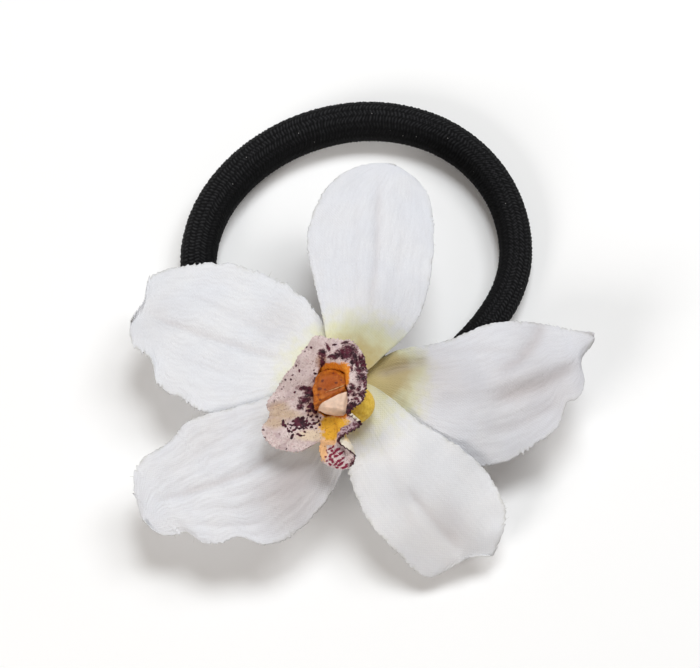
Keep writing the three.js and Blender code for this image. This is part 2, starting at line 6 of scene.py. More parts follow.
import bpy
import numpy as np
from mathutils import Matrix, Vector


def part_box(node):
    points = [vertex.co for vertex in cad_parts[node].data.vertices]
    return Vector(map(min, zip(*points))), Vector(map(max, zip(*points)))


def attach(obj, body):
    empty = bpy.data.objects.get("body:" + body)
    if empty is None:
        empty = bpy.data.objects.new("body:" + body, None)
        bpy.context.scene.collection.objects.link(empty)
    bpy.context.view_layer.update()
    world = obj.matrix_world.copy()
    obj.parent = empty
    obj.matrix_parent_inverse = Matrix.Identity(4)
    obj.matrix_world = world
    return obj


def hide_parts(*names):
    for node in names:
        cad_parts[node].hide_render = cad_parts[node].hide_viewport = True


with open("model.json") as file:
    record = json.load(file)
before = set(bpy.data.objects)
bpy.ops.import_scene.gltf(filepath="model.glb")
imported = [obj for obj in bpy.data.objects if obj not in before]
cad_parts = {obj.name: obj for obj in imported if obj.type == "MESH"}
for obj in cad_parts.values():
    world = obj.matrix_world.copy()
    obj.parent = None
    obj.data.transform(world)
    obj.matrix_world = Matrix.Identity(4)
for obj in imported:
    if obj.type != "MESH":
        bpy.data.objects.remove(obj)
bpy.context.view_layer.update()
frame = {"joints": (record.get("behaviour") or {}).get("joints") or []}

MM = 0.001
RANDOM = np.random.default_rng(7)

# Photo's viewpoint, from the table under the flower's middle
CAMERA_BACK = 114.87
CAMERA_HEIGHT = 304.66
CAMERA_ELEVATION = 67
CAMERA_LENS = 100
CAMERA_SENSOR = 36

# Elastic loop: the CAD part's sizes, with the cord moved to the left by LOOP_SIDEWAYS
CLEARANCE = 0.3
LOOP_WIDTH = 54.4
LOOP_DEPTH = 51.4
LOOP_LEAN = 2.4
LOOP_PINCH = 0.4
LOOP_SIDEWAYS = 0.2
CORD_DIAMETER = 5.5
CORD_SWELL = 1.7
SWELL_BEARING = 106
SWELL_POWER = 1.5
COVER_SIDES_IN_CAD = 12
COVER_BORE_RADIUS = 1.95
SPLICE_GAP = 0.6
SPLICE_MARGIN = 0.5
CORD_POINTS = 6001
STRAND_DIAMETER = 0.9
STRAND_SPACING = 1.2
STRANDS_ROUND_CORE = 6
STRAND_STEP = 0.8
STRAND_SIDES = 12
STRAND_UNEVENNESS = 0.03
STRAND_THINNING = 0.95
FERRULE_LENGTH = 12
FERRULE_WALL = 0.4
FERRULE_RIM = 0.3
FERRULE_RIM_WIDTH = 0.9
FERRULE_GRID = (160, 72)
CRIMPS_ROUND = 3
CRIMP_PLACE = 0.45
CRIMP_WIDTH = 0.7
CRIMP_DEPTH = 0.15
KEEPER_THICKNESS = 0.8
KEEPER_FLANGE = 2
KEEPER_RIB = 0.05
KEEPER_GRID = (200, 40)
KEEPER_ARC = 40

# Knitted cover: stitches lie across the cord in rows that slant to alternate sides
STITCH_PITCH = 0.6
STITCH_STEPS = 4
STITCH_ROWS = 18
STITCH_SLANT = 0.9
STITCH_DEPTH = 0.24
STITCH_UNEVENNESS = 0.22
STITCH_LOOSENESS = 0.45
COVER_SIDES = 72
# Painted light: the angle round the cord's section, in degrees, of the side painted lighter
PAINTED_LIGHT_SIDE = 55
BORE_STEP = 12

# Felt, glue, calyx and tepals: the CAD part's sizes, with thinner cloth
SPUN_GRID = (120, 90)
SPUN_CORE = 0.1
FELT_INSET = 0.1
FELT_ROUNDING = 0.3
FELT_NAP = 0.05
GLUE_SHRINKING = 0.95
GLUE_UNEVENNESS = 0.025
CALYX_FLANGE = 1
CALYX_RIBS = 15
CALYX_RIB_DEPTH = 0.04
PEG_RADIUS = 2.2
PEG_NECK_RADIUS = 1.4
PEG_NECK_LENGTH = 0.8
SEPALS_BELOW_PEG_TOP = 0.25
LAYER_STEP = 1.6
FABRIC_THICKNESS = 0.2
# How far in from the edge the cloth is darkened in blotches
EDGE_DARKENING_REACH = 0.35
# Painted shade in creases: grey for each millimetre of a crease's depth
CREASE_SHADE = 0.45
DYE_REACH = (2, 17)
CLOTH_SWELL = 0.16
CLOTH_GLOW = 0.12
CRINKLE_STRETCH = (0.16, 1, 1)
WEAVE_TURN = 38
EDGE_WANDER = 0.06
FRAY_LEAST = 0.05
FRAY_MORE = 0.12
THREAD_RADIUS = 0.035
THREAD_GRID = (7, 5)
THREAD_BEND = 0.35
THREAD_LEAN = 0.5
THREAD_ROOT = 0.1
THREAD_LENGTHS = (0.3, 0.8)
THREADS_AN_EDGE = 6
THREADS_FROM_ROW = 30
FORM_POWER = 1.6
FORM_SPREAD = 5
CLAW_HALF_WIDTH = 1.7
CLAW_ROLL = 0.5
TEPAL_ROWS = 180
TEPAL_COLUMNS = 96
CURVE_SAMPLES = 24
EDGE_END = 0.995
CREASE_SAMPLES = 48
CREASE_ENDS = 0.25
PLEAT_ACROSS = 0.45
PLEAT_ALONG = 14
PLEAT_WAVES = 30

# Outlines run from the claw round the tepal and back, as shares of its length and of its width. Other
# places are along and across the tepal. A crease is a line with a depth and a width; a ridge has a minus
# depth. A curl lifts the cloth round a place: radius and lift. A nick cuts into the edge: radius and depth.
# A shade is painted shade: a warm grey over places of the cloth meant to lie in shade. A stain is painted
# shade in the dye's colour, darkening the dye. Each has a half length, half width and strength. The level
# is painted
# light and shade for the whole tepal: its red, green and blue against those of the plain cloth. Crumple is
# the strength of its crinkles and of the painted shade along them.
TEPALS = [
    dict(
        name="dorsal_sepal", layer=1, heading=83, length=38.5, width=21, rise=2.5, crumple=0.7,
        crown=1.2, ruffle=0.35, waves=2, pleat=0.012, fray=0.6, dyed=1.1,
        outline=[
            (0.14, -0.24), (0.28, -0.43), (0.46, -0.51), (0.72, -0.5), (0.91, -0.4), (1, -0.15),
            (0.995, 0.12), (0.93, 0.32), (0.79, 0.44), (0.62, 0.48), (0.45, 0.39), (0.3, 0.29),
            (0.15, 0.2),
        ],
        creases=[
            ([(38, -0.2), (29.6, -1), (22.7, -1.7), (9, -1.8)], 0.42, 1.0),
            ([(35, 3.3), (23, 1.9), (10, 0.6)], 0.1, 0.8),
            ([(33, -5), (22.4, -5.6), (10, -4)], 0.1, 0.9),
        ],
        curls=[(36, 6.5, 4, -0.5), (34, -8.5, 4, -0.4)],
        painted_light_level=(1.04, 1.04, 1.04), nicks=[], painted_shades=[(12, -3, 6, 5, 0.08)], dyed_shades=[],
    ),
    dict(
        name="left_petal", layer=0, heading=165, length=38, width=26, rise=-1.5, crumple=0.9,
        crown=0.6, ruffle=0.8, waves=2.5, pleat=0.014, fray=1.4, dyed=1.0,
        outline=[
            (0.14, -0.28), (0.27, -0.47), (0.43, -0.58), (0.62, -0.61), (0.82, -0.56), (0.985, -0.44),
            (0.975, -0.25), (1, -0.08), (0.955, 0.06), (0.86, 0.13), (0.8, 0.27), (0.68, 0.32),
            (0.57, 0.38), (0.44, 0.32), (0.29, 0.19), (0.16, 0.12),
        ],
        creases=[
            ([(37.5, -5.6), (32.3, -3.8), (26.8, -3), (21.6, -2.4), (9, -1.6)], 0.5, 1.0),
            ([(31, -9.5), (22, -7.5), (13, -5)], 0.16, 1.5),
            ([(32, 1), (25, 2.2), (15, 2)], 0.14, 1.4),
        ],
        curls=[(37, -9, 4, -0.5), (28, 6, 4, 0.4)],
        painted_light_level=(1.08, 1.08, 1.07), nicks=[], painted_shades=[(34, -4, 5, 5, 0.1), (14, -8, 4, 4, 0.18)], dyed_shades=[],
    ),
    dict(
        name="right_petal", layer=0, heading=5, length=39, width=23.5, rise=1.5, crumple=0.9,
        crown=0.6, ruffle=0.8, waves=2, pleat=0.016, fray=0.8, dyed=1.25,
        outline=[
            (0.17, -0.24), (0.27, -0.42), (0.37, -0.53), (0.46, -0.58), (0.58, -0.575), (0.7, -0.51),
            (0.83, -0.41), (0.87, -0.32), (0.93, -0.23), (0.97, -0.11), (0.97, 0.06), (1.03, 0.19),
            (0.93, 0.28), (0.79, 0.36), (0.6, 0.36), (0.41, 0.27), (0.19, 0.22),
        ],
        creases=[
            ([(3.5, 1.4), (8, 2.4), (13.5, 3.6)], 0.9, 1.4),
            ([(8.8, -2.7), (14.4, -2.3), (24.2, -1.8), (34.2, 0.6), (40, 3.4)], -0.6, 1.6),
            ([(33, 10), (30.8, 5.2), (27.5, 1.6), (23, 0)], 0.7, 1.6),
            ([(38.5, 1.4), (30.6, -2.4), (21, -4.6)], 0.7, 1.8),
            ([(12, 5.2), (21.6, 4.2), (32, 2.6)], 0.22, 1.0),
            ([(34.5, -5), (27, -8), (19, -9.4)], 0.3, 1.3),
        ],
        curls=[(40, 4.6, 2.4, 1.1), (36, -7, 3, 0.3), (27, -14, 6, -1.8), (14, -9, 5, 1.0)],
        painted_light_level=(1.01, 1.005, 1.005), nicks=[(35, -6.8, 1.2, 1.0), (29.6, -10.4, 0.7, 0.4)],
        painted_shades=[(31, -3, 9, 5, 0.28), (11, 2.4, 5, 3, 0.2), (15, -1, 8, 5, 0.26), (30, 6, 3, 5, 0.12)],
        dyed_shades=[(8.5, 2.2, 4.5, 3, 0.42)],
    ),
    dict(
        name="lower_left_sepal", layer=1, heading=208, length=39, width=24, rise=-6, crumple=1.2,
        crown=0.6, ruffle=0.8, waves=3, pleat=0.03, fray=0.9, dyed=0.6,
        outline=[
            (0.18, -0.13), (0.34, -0.18), (0.53, -0.25), (0.67, -0.29), (0.78, -0.23), (0.9, -0.21),
            (0.965, -0.12), (0.99, 0.02), (1, 0.16), (0.96, 0.29), (0.87, 0.36), (0.81, 0.51),
            (0.69, 0.57), (0.61, 0.69), (0.52, 0.71), (0.41, 0.68), (0.29, 0.6), (0.2, 0.5), (0.1, 0.3),
        ],
        creases=[
            ([(37, 1.4), (26.8, 4.1), (21.1, 5.1), (8, 4)], 0.75, 1.0),
            ([(35, -0.9), (26.3, -1.6), (12, -2.4)], 0.2, 0.7),
            ([(35, 0.8), (27, 0.9), (16, 0.4)], 0.16, 0.6),
            ([(30, -4), (21, -4.3), (12, -3.4)], 0.16, 0.6),
            ([(34, 4.4), (25.6, 9.4), (15, 11.4)], 0.2, 0.8),
            ([(34, 7), (29, 10.6), (22, 13.6)], 0.2, 0.7),
            ([(27, 6.9), (20, 8.4), (10, 7.8)], 0.18, 0.7),
        ],
        curls=[(34, 9, 2.5, 0.5), (27, 14.4, 2.5, 0.4), (37, -3, 3, 0.4)],
        painted_light_level=(1.08, 1.075, 1.065), nicks=[], dyed_shades=[],
        painted_shades=[(15.8, 9.8, 6, 3.2, 0.6), (17, 14, 6, 3.6, 0.4), (9, 7, 4, 4, 0.1), (24, -3, 9, 3, 0.12)],
    ),
    dict(
        name="lower_right_sepal", layer=1, heading=306, length=33.5, width=20, rise=-11.5, crumple=0.35,
        crown=1.2, ruffle=0.8, waves=2.5, pleat=0.012, fray=0.9, dyed=0.6,
        outline=[
            (0.15, -0.28), (0.3, -0.4), (0.42, -0.47), (0.61, -0.51), (0.76, -0.46), (0.92, -0.36),
            (0.955, -0.15), (0.98, 0.03), (1.02, 0.16), (0.98, 0.3), (0.92, 0.42), (0.81, 0.48),
            (0.69, 0.49), (0.52, 0.39), (0.33, 0.26), (0.18, 0.19),
        ],
        creases=[
            ([(18, -2.6), (26.3, -1.4), (31.5, -0.4)], 0.5, 1.1),
            ([(8, -1.2), (18, -3.4), (27, -6)], 0.16, 1.4),
            ([(12, 2), (20, 2.8), (28, 3.4)], -0.2, 1.6),
        ],
        curls=[(32.4, 6, 2, 0.9), (32.2, -1.6, 1.2, 0.6), (29, 8.6, 2.5, 0.5)],
        painted_light_level=(1.07, 1.06, 1.035), nicks=[(32.3, -0.6, 0.9, 0.4)], dyed_shades=[],
        painted_shades=[(27.5, 0.6, 4, 2.4, 0.28), (27, -4, 8, 6, 0.14)],
    ),
]

# Lip, close to the CAD part's. Its edge: bearing round the throat, x and y from the flower's middle, height
# over the lip's floor. Places on the lip are stations along that list and rings, from 0 at the floor to 4
# at the edge. A pouch of the wall: station, ring and depth.
LIP_EDGE = [
    (92, -3.1, 4.3, 6.9), (70, 0, 3.7, 7.5), (40, 2, 1.4, 7.8), (10, 2.6, -1.7, 7.7), (-15, 2.2, -5.8, 7),
    (-40, 0, -7.6, 5.8), (-56, 1.6, -9.5, 5.3), (-70, -1.7, -11.6, 4.1), (-78, 0.7, -13.7, 2.2),
    (-88, -0.7, -15.4, 1.4), (-98, -4.3, -14.2, 1.4), (-108, -4.6, -11.4, 2.8), (-124, -8, -12.7, 1.9),
    (-142, -12, -11.9, 1.9), (-158, -13.8, -9.4, 2.4), (-172, -12.5, -6.8, 2.9), (-184, -13.1, -5.3, 2.9),
    (-202, -11.1, -2.2, 4.1), (-222, -8.8, 0.8, 5.1), (-245, -5.7, 4.8, 6.3),
]
LIP_ABOVE_PEG_TOP = 0.6
LIP_THICKNESS = 0.5
LIP_FOOT = (-1.2, -2.2)
LIP_FLOOR_RADIUS = 1.9
LIP_BELLY = dict(middle=(-1.8, -4.8), across=5.5, along=3.8, height=2)
LIP_MOUTH = dict(middle=(-3, -3.5), across=2.8, along=4.2, low=3.4, high=6.6)
LIP_MOUTH_SLANT = 0.35
LIP_LOBE_ARCH = 0.4
LIP_POUCHES = [(18.7, 1.65, 0.85), (5, 2.6, 0.5)]
POUCH_HALF_HEIGHT = 0.5
LIP_STATIONS = 420
LIP_ROWS = (8, 14, 24, 30)
LIP_LUMPS = 0.14
LIP_GRAIN = 0.04
LIP_NAP = 0.1
RIM_WAVES = 0.14
LOBE_FOLD = 15.6
LOBE_FOLD_DEPTH = 0.7
LOBE_FOLD_WIDTH = 0.45
KEEL_HEIGHT = 0.05
KEELS_A_STATION = 1.4
STAINED_RIM = (3.5, 8.6)
FRINGE = (4.6, 7.4)

# Paint on the lip and the column, placed on a view from the front: right and up of a point in the mouth,
# half width, half height and turn in degrees. That point is given from the flower's middle and the lip's
# floor.
PAINT_POINT = (-2.4, -4.4, 4)
LIP_PAINT = dict(
    patches=[
        (2.4, 7.4, 1.18, 0.91), (1.1, 7, 1.42, 0.59, 22), (-0.5, 6.5, 0.51, 0.26, 15),
        (3.1, 6.4, 0.43, 1.02), (2.8, 5.4, 0.39, 0.39), (-1, 7.8, 0.75, 0.24, -62),
        (1.7, 8.5, 0.63, 0.22, 15), (-1.9, 6.8, 0.67, 0.63), (-1.9, 5.5, 0.43, 1.18),
        (-1.5, 4.5, 0.28, 0.43), (-2.6, 3, 0.91, 0.31, 22), (-4.6, 1.4, 1.3, 0.39, -5),
        (-4, 0.6, 0.83, 0.83), (-4.6, -0.4, 1.02, 0.59, 20), (-5.4, -1.5, 0.51, 0.55),
        (4.4, 5.6, 1.14, 0.55, -60), (4, 4.3, 0.79, 0.51, 10), (4.3, 3, 0.75, 0.79),
        (4.7, 2.1, 0.35, 0.51), (2.9, 1.6, 0.43, 0.49), (2.5, 0.9, 0.71, 0.35), (3.2, 0.4, 0.49, 0.28),
        (4.4, 0.5, 0.59, 0.55), (4.7, -0.3, 0.39, 0.35), (3.5, -0.3, 0.43, 0.28),
        (3, -1.2, 0.79, 0.43, 20), (2.4, -1.6, 0.55, 0.43), (2.3, -2.4, 0.28, 0.89),
        (2.7, 4.5, 0.24, 0.55), (2.2, 0.3, 0.24, 0.24), (3.8, 1.2, 0.28, 0.28), (3.6, 5.1, 0.28, 0.79),
        (1.8, 6.7, 1.42, 0.79), (3, 5.5, 0.47, 0.47), (0.4, 6.4, 0.79, 0.35, 10), (4, 1.7, 0.24, 0.18),
        (4.9, 1.2, 0.18, 0.31), (2.8, -0.4, 0.26, 0.18), (3.8, -0.7, 0.39, 0.18), (2.1, -0.6, 0.24, 0.28),
        (3.6, -1.6, 0.35, 0.2), (2, 1.5, 0.18, 0.24), (2.6, 2.1, 0.28, 0.18), (5, 2.7, 0.18, 0.51),
        (4.9, 4.7, 0.28, 0.63), (3.8, 3.5, 0.28, 0.28), (3.4, 5.9, 0.35, 0.51), (4.5, 6.5, 0.28, 0.35),
    ],
    spots=[
        (-8.1, -3.9, 0.24, 0.39), (-8, -4.4, 0.33, 0.2), (-7.2, -5.4, 0.26, 0.24), (-7.4, -5, 0.16, 0.16),
        (-6.7, -6.2, 0.26, 0.28), (-6.9, -4.9, 0.2, 0.16), (-6.9, -4.4, 0.28, 0.16),
        (-5.6, -3.8, 0.79, 0.55), (-6.1, -4.4, 0.39, 0.31), (-4.7, -4.4, 0.59, 0.39),
        (-4.4, -3.8, 0.39, 0.28), (-5.1, -3.2, 0.28, 0.16), (-3.7, -3.1, 0.2, 0.2),
        (-3.9, -4.2, 0.24, 0.2), (-3.4, -3.6, 0.24, 0.2), (-3.2, -4.2, 0.28, 0.24), (-3, -5, 0.2, 0.16),
        (-3.6, -4.8, 0.2, 0.16), (-2.6, -3.8, 0.2, 0.24), (-2.4, -4.4, 0.16, 0.16),
        (-6.3, -5.2, 0.31, 0.16, 20), (-5.8, -5.8, 0.28, 0.16), (-6.7, -5.5, 0.2, 0.16),
        (-5.3, -6, 0.24, 0.12), (-4.9, -5.1, 0.24, 0.16), (-5.6, -5, 0.24, 0.16), (-4.3, -5, 0.2, 0.16),
        (-3.5, -1.6, 0.39, 0.39), (-3, -1.2, 0.28, 0.31), (-3.9, -2.2, 0.35, 0.28),
        (-3.1, -2.4, 0.31, 0.24), (-2.6, -1.7, 0.16, 0.28), (-4.1, -2.8, 0.2, 0.16),
        (-2.9, -3.1, 0.24, 0.16), (-3.5, -2.9, 0.2, 0.16), (-6, 5, 0.18, 0.2), (-5.5, 4.1, 0.14, 0.31),
        (-6.9, 2.8, 0.2, 0.16), (-7.7, 2.8, 0.16, 0.12), (-8.3, 1.3, 0.2, 0.12), (-6.6, 3.4, 0.16, 0.1),
        (-8, 1.7, 0.12, 0.1), (-9.6, -0.6, 0.1, 0.2), (-3.6, 7.8, 0.2, 0.2), (-4.4, 7.8, 0.16, 0.16),
        (-3.3, 4.2, 0.16, 0.16), (-3.2, 3.7, 0.24, 0.16), (-4.7, 7.2, 0.12, 0.12),
        (-10.8, -3.3, 0.24, 0.16), (-11.2, -5.2, 0.2, 0.2), (-7.6, -8.1, 0.16, 0.2),
        (-10.4, -3.1, 0.12, 0.1), (-11, -6.3, 0.12, 0.12), (-6.3, 0.8, 0.24, 0.2), (0, 8.2, 0.31, 0.18),
        (-6.5, -3.8, 0.26, 0.18, 20), (-5.8, -3.3, 0.24, 0.16), (-5.2, -4.8, 0.26, 0.18),
        (-4.7, -5.5, 0.2, 0.16), (-4.1, -4.5, 0.22, 0.16), (-6.6, -4.5, 0.24, 0.18),
        (-6, -4.9, 0.24, 0.18, 30), (-7.4, -4.2, 0.22, 0.16), (-5.5, -6, 0.2, 0.14),
        (-4.8, -6, 0.18, 0.14), (-4.9, -3.3, 0.28, 0.2), (-5.3, -4.2, 0.59, 0.39), (-4.3, -3.3, 0.2, 0.18),
        (-3.5, -4.4, 0.22, 0.16), (-2.8, -4, 0.2, 0.18), (-3.2, -2.2, 0.28, 0.2), (-3.7, -1.2, 0.28, 0.31),
        (-4.4, -2.2, 0.24, 0.18), (-4.1, -1.5, 0.28, 0.24), (-6.9, -6.4, 0.18, 0.16),
        (-7.7, -4.7, 0.18, 0.14), (-4.5, -4.9, 0.2, 0.16), (-6.5, -5.9, 0.18, 0.14),
        (-2.3, -3.3, 0.18, 0.14), (-5.2, -3.7, 0.43, 0.28),
    ],
    crimson=[
        (-0.7, -8, 0.39, 0.16, 35), (-0.2, -7.7, 0.3, 0.14, 30), (0.4, -8.3, 0.47, 0.22, 40),
        (0, -8.8, 0.51, 0.22, 35), (-0.5, -9, 0.33, 0.16, 30), (0.9, -8.9, 0.33, 0.18, 35),
        (-0.7, -9.4, 0.31, 0.14, 15), (0.3, -9.3, 0.39, 0.16, 25), (-0.5, -9.8, 0.43, 0.16, 5),
        (-1.2, -10, 0.26, 0.12, 10), (0.7, -10, 0.43, 0.18, 32), (1.2, -9.6, 0.24, 0.14, 30),
        (0.2, -10.5, 0.35, 0.14, 30), (0.9, -10.5, 0.51, 0.16, 38), (-0.7, -10.5, 0.31, 0.14),
        (1.5, -11, 0.51, 0.16, 15), (0.4, -11, 0.33, 0.14), (1.8, -10.6, 0.22, 0.12, 20),
        (-1.5, -9.4, 0.18, 0.12), (-1.1, -8.7, 0.2, 0.12, 20), (1.3, -8.5, 0.22, 0.12, 30),
        (-0.2, -10.1, 0.24, 0.12, 10), (-1.3, -8.3, 0.16, 0.12), (-0.4, -8.4, 0.24, 0.16, 30),
    ],
    throat=[
        (1.3, 4.5, 1.08, 0.94), (2, 3.1, 0.4, 1.5), (-2.8, -0.6, 0.63, 1.87), (-1.5, -2.2, 1.38, 0.51),
    ],
    yellow=[(-0.1, -4.4, 2.32, 1.54), (-0.7, -5.9, 1.38, 0.79)],
    # Painted shade: dark orange along the shelf's upper edge, under the front of the mouth.
    shelf_edge_shade=[(1.1, -2.9, 1.22, 0.43), (-0.7, -2.8, 1.18, 0.24)],
    cream=[(-8, -2.7, 2.95, 0.87, -4), (-9.4, -4, 1.77, 0.98), (-8.8, -1.7, 1.6, 1)],
    butter=[(-3.7, -6, 2.36, 0.91)],
    peach=[(-1.9, -8.3, 0.79, 1.87), (-0.7, -6.9, 1.3, 0.59)],
    brown=[(-3.4, -1.8, 1.1, 1.6), (-3.5, 0.5, 0.9, 1.3), (-2, 5.6, 0.8, 1.4)],
    # Painted shade: mauve grey over the upper left lobe and under the hood.
    lobe_painted_shade=[(-3, 7.9, 1.57, 1.18, -20), (-5.5, 3.1, 3.94, 4.13)],
)
# Painted light on the column: shade painted darker below and to the left, light painted at the top right,
# and a highlight painted along a ridge.
COLUMN_PAINT = dict(
    column_painted_shade=[(-0.9, 1.9, 1.7, 1.6, 20), (0.2, 3.7, 0.98, 0.39)],
    light=[(1.6, 4.2, 1.3, 1.02), (-0.7, 4.8, 0.87, 0.47)],
    ridge_highlight=[(0.2, 1.4, 1.61, 0.1, 20)],
    spots=[
        (-1.5, 1.2, 0.24, 0.2), (0.2, 2.3, 0.31, 0.18), (1.8, 5, 0.39, 0.16, -40), (-0.2, 3.8, 0.2, 0.16),
        (1, 2.7, 0.22, 0.14), (-2.4, 1.3, 0.35, 0.28), (-1.9, 2.6, 0.3, 0.2, 40), (-2.3, -0.4, 0.2, 0.2),
        (-1.7, -1.2, 0.24, 0.16), (-2.6, 0.4, 0.18, 0.18),
    ],
)

# Coats of colour in their order, each by a paint or a grain: its start, where it is full, strength, colour
LIP_COATS = [
    ("grain", 0.3, 0.7, 1, (0.86, 0.76, 0.73)),
    ("cloud", 0.5, 0.72, 0.55, (0.46, 0.33, 0.36)),
    ("cream", 0.0, 1.1, 0.8, (0.54, 0.39, 0.24)),
    # Painted shade over the upper left lobe.
    ("lobe_painted_shade", 0.1, 1.0, 0.42, (0.45, 0.35, 0.33)),
    ("butter", 0.1, 1.0, 0.7, (0.78, 0.62, 0.40)),
    # Painted highlights: pale specks in the nap.
    ("fine", 0.6, 0.72, 0.6, (0.92, 0.85, 0.83)),
    ("patches", 0.05, 0.45, 0.55, (0.30, 0.15, 0.15)),
    ("brown", 0.0, 1.0, 0.7, (0.36, 0.17, 0.09)),
    ("peach", 0.3, 0.8, 0.9, (0.85, 0.47, 0.20)),
    ("yellow", 0.2, 0.75, 1, (0.74, 0.38, 0.03)),
    # Painted shade along the shelf's upper edge.
    ("shelf_edge_shade", 0.2, 0.9, 1, (0.56, 0.16, 0.012)),
]
# The column's darker coat is painted shade, its lighter coat painted light, and its ridge coat a painted
# highlight.
COLUMN_COATS = [
    ("grain", 0.35, 0.65, 1, (0.58, 0.175, 0.015)),
    ("column_painted_shade", 0.2, 1.0, 0.8, (0.38, 0.075, 0.008)),
    ("light", 0.2, 1.0, 0.9, (0.74, 0.31, 0.03)),
    ("fine", 0.54, 0.7, 0.6, (0.24, 0.045, 0.008)),
    ("ridge_highlight", 0.4, 0.9, 0.75, (0.82, 0.47, 0.22)),
    ("spots", 0.4, 0.8, 0.85, (0.12, 0.02, 0.01)),
]

# Column and anther cap, a little fuller than the CAD part's
COLUMN_LENGTH = 5.1
COLUMN_HALF_WIDTH = 2.1
COLUMN_HALF_DEPTH = 1.5
COLUMN_FOOT = -0.3
COLUMN_FOOT_DEPTH = 0.8
COLUMN_FULLNESS = 1.3
COLUMN_ROUNDING = 0.7
COLUMN_RIDGES = 9
COLUMN_RIPPLE = 0.05
COLUMN_LUMPS = 0.025
COLUMN_GRID = (90, 160)
COLUMN_FOOT_HEIGHT = 4.5
COLUMN_FOOT_FORWARD = 0.65
COLUMN_TILT = 75
COLUMN_END_SLANT = 0.6
ANTHER_LENGTH = 1.5
ANTHER_POINT = 0.4
ANTHER_HALF_DEPTH = 1.3
ANTHER_SIDEWAYS = 0.4
ANTHER_RIPPLE = 0.02

# Table in millimetres; lamps in metres and watts: place, power and colour
TABLE_HALF = 3000
TABLE_LEVEL = -0.1
TABLE_GLOW = 0.08
SKY_STRENGTH = 0.17
LAMP_SIZE = 0.30
LAMPS = {
    "back": ((0.06, 0.27, 0.65), 2.5, (0.93, 0.97, 1.0)),
    "right": ((0.34, 0.26, 0.55), 1.5, (0.94, 0.97, 1.0)),
    "front": ((-0.42, -0.42, 0.37), 2.2, (1.0, 0.985, 0.97)),
}


# Places taken from the frame

def size_of(node):
    """A node's lower and upper corner in millimetres."""
    low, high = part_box(node)
    return np.array(low) / MM, np.array(high) / MM


def plan_middle(node):
    """The middle of a node in plan, at the table's height."""
    low, high = size_of(node)
    return (low + high) / 2 * (1, 1, 0)


SPLICE = np.array(frame["joints"][0]["pos_m"]) / MM
AXIS_HEIGHT = SPLICE[2]
LOOP_MIDDLE = np.array([SPLICE[0] - LOOP_SIDEWAYS, SPLICE[1] + LOOP_DEPTH / 2, 0])
FLOWER_MIDDLE = plan_middle("calyx_peg")
PEG_TOP = size_of("calyx_peg")[1][2]
LIP_HEIGHT = PEG_TOP + LIP_ABOVE_PEG_TOP
EYE = FLOWER_MIDDLE + (0, -CAMERA_BACK, CAMERA_HEIGHT)


# Small tools for shapes

def smoothstep(value, low, high):
    """0 up to low, 1 from high on, and a smooth step between."""
    share = np.clip((value - low) / (high - low), 0, 1)
    return share * share * (3 - 2 * share)


def falloff(distance, width):
    """1 at no distance, fading out over a width."""
    return np.exp(-(distance / width) ** 2)


def turned(x, y, angle):
    """Coordinates turned round their origin."""
    cos, sin = math.cos(angle), math.sin(angle)
    return x * cos - y * sin, x * sin + y * cos


def stacked(*coordinates):
    """Points from coordinates of matching shapes."""
    return np.stack(np.broadcast_arrays(*coordinates), -1)


def unit(vectors):
    return vectors / np.maximum(np.linalg.norm(vectors, axis=-1, keepdims=True), 1e-9)


def rough_field(points, wavelength, waves=18):
    """A smooth random field of about unit height over points, with features about a wavelength wide."""
    total = np.zeros(points.shape[:-1])
    for _ in range(waves):
        direction = unit(RANDOM.normal(size=points.shape[-1]))
        direction *= 2 * math.pi / (wavelength * RANDOM.uniform(0.7, 1.5))
        total += np.cos(points @ direction + RANDOM.uniform(0, 2 * math.pi))
    return total * math.sqrt(2 / waves)


def turns(sides):
    """Angles of evenly spaced sides."""
    return np.arange(sides) * 2 * math.pi / sides


def distances(line):
    """How far along a line each of its points is."""
    return np.concatenate([[0], np.cumsum(np.linalg.norm(np.diff(line, axis=0), axis=1))])


def resample(line, shares):
    """Points at shares of a line's length."""
    line = np.asarray(line, float)
    along = distances(line)
    return np.stack([np.interp(shares * along[-1], along, line[:, k]) for k in range(line.shape[1])], -1)


def mesh_piece(name, points, faces, material, marks=None):
    """A smooth mesh from points in millimetres; marks are attributes of its points by name."""
    mesh = bpy.data.meshes.new(name)
    corners = [[int(k) for k in face] for face in faces]
    mesh.from_pydata((np.asarray(points, float) * MM).tolist(), [], corners)
    for key, values in (marks or {}).items():
        values = np.asarray(values, np.float32)
        kind, field = ("FLOAT_VECTOR", "vector") if values.ndim == 2 else ("FLOAT", "value")
        mesh.attributes.new(key, kind, "POINT").data.foreach_set(field, values.ravel())
    mesh.shade_smooth()
    mesh.materials.append(material)
    piece = bpy.data.objects.new(name, mesh)
    bpy.context.scene.collection.objects.link(piece)
    return piece


def grid_faces(rows, columns, wrap_rows=False, wrap_columns=False):
    """Quads of a grid of points stored row by row, facing along its rows crossed with its columns."""
    row, column = np.meshgrid(
        np.arange(rows if wrap_rows else rows - 1),
        np.arange(columns if wrap_columns else columns - 1), indexing="ij")
    next_row, next_column = (row + 1) % rows, (column + 1) % columns
    corners = [(row, column), (next_row, column), (next_row, next_column), (row, next_column)]
    return np.stack([(r * columns + c).ravel() for r, c in corners], 1)


def bell(flat, along, across, half_length, half_width):
    """1 at a place on a flat sheet, fading out round it."""
    return falloff(np.hypot((flat[..., 0] - along) / half_length, (flat[..., 1] - across) / half_width), 1)


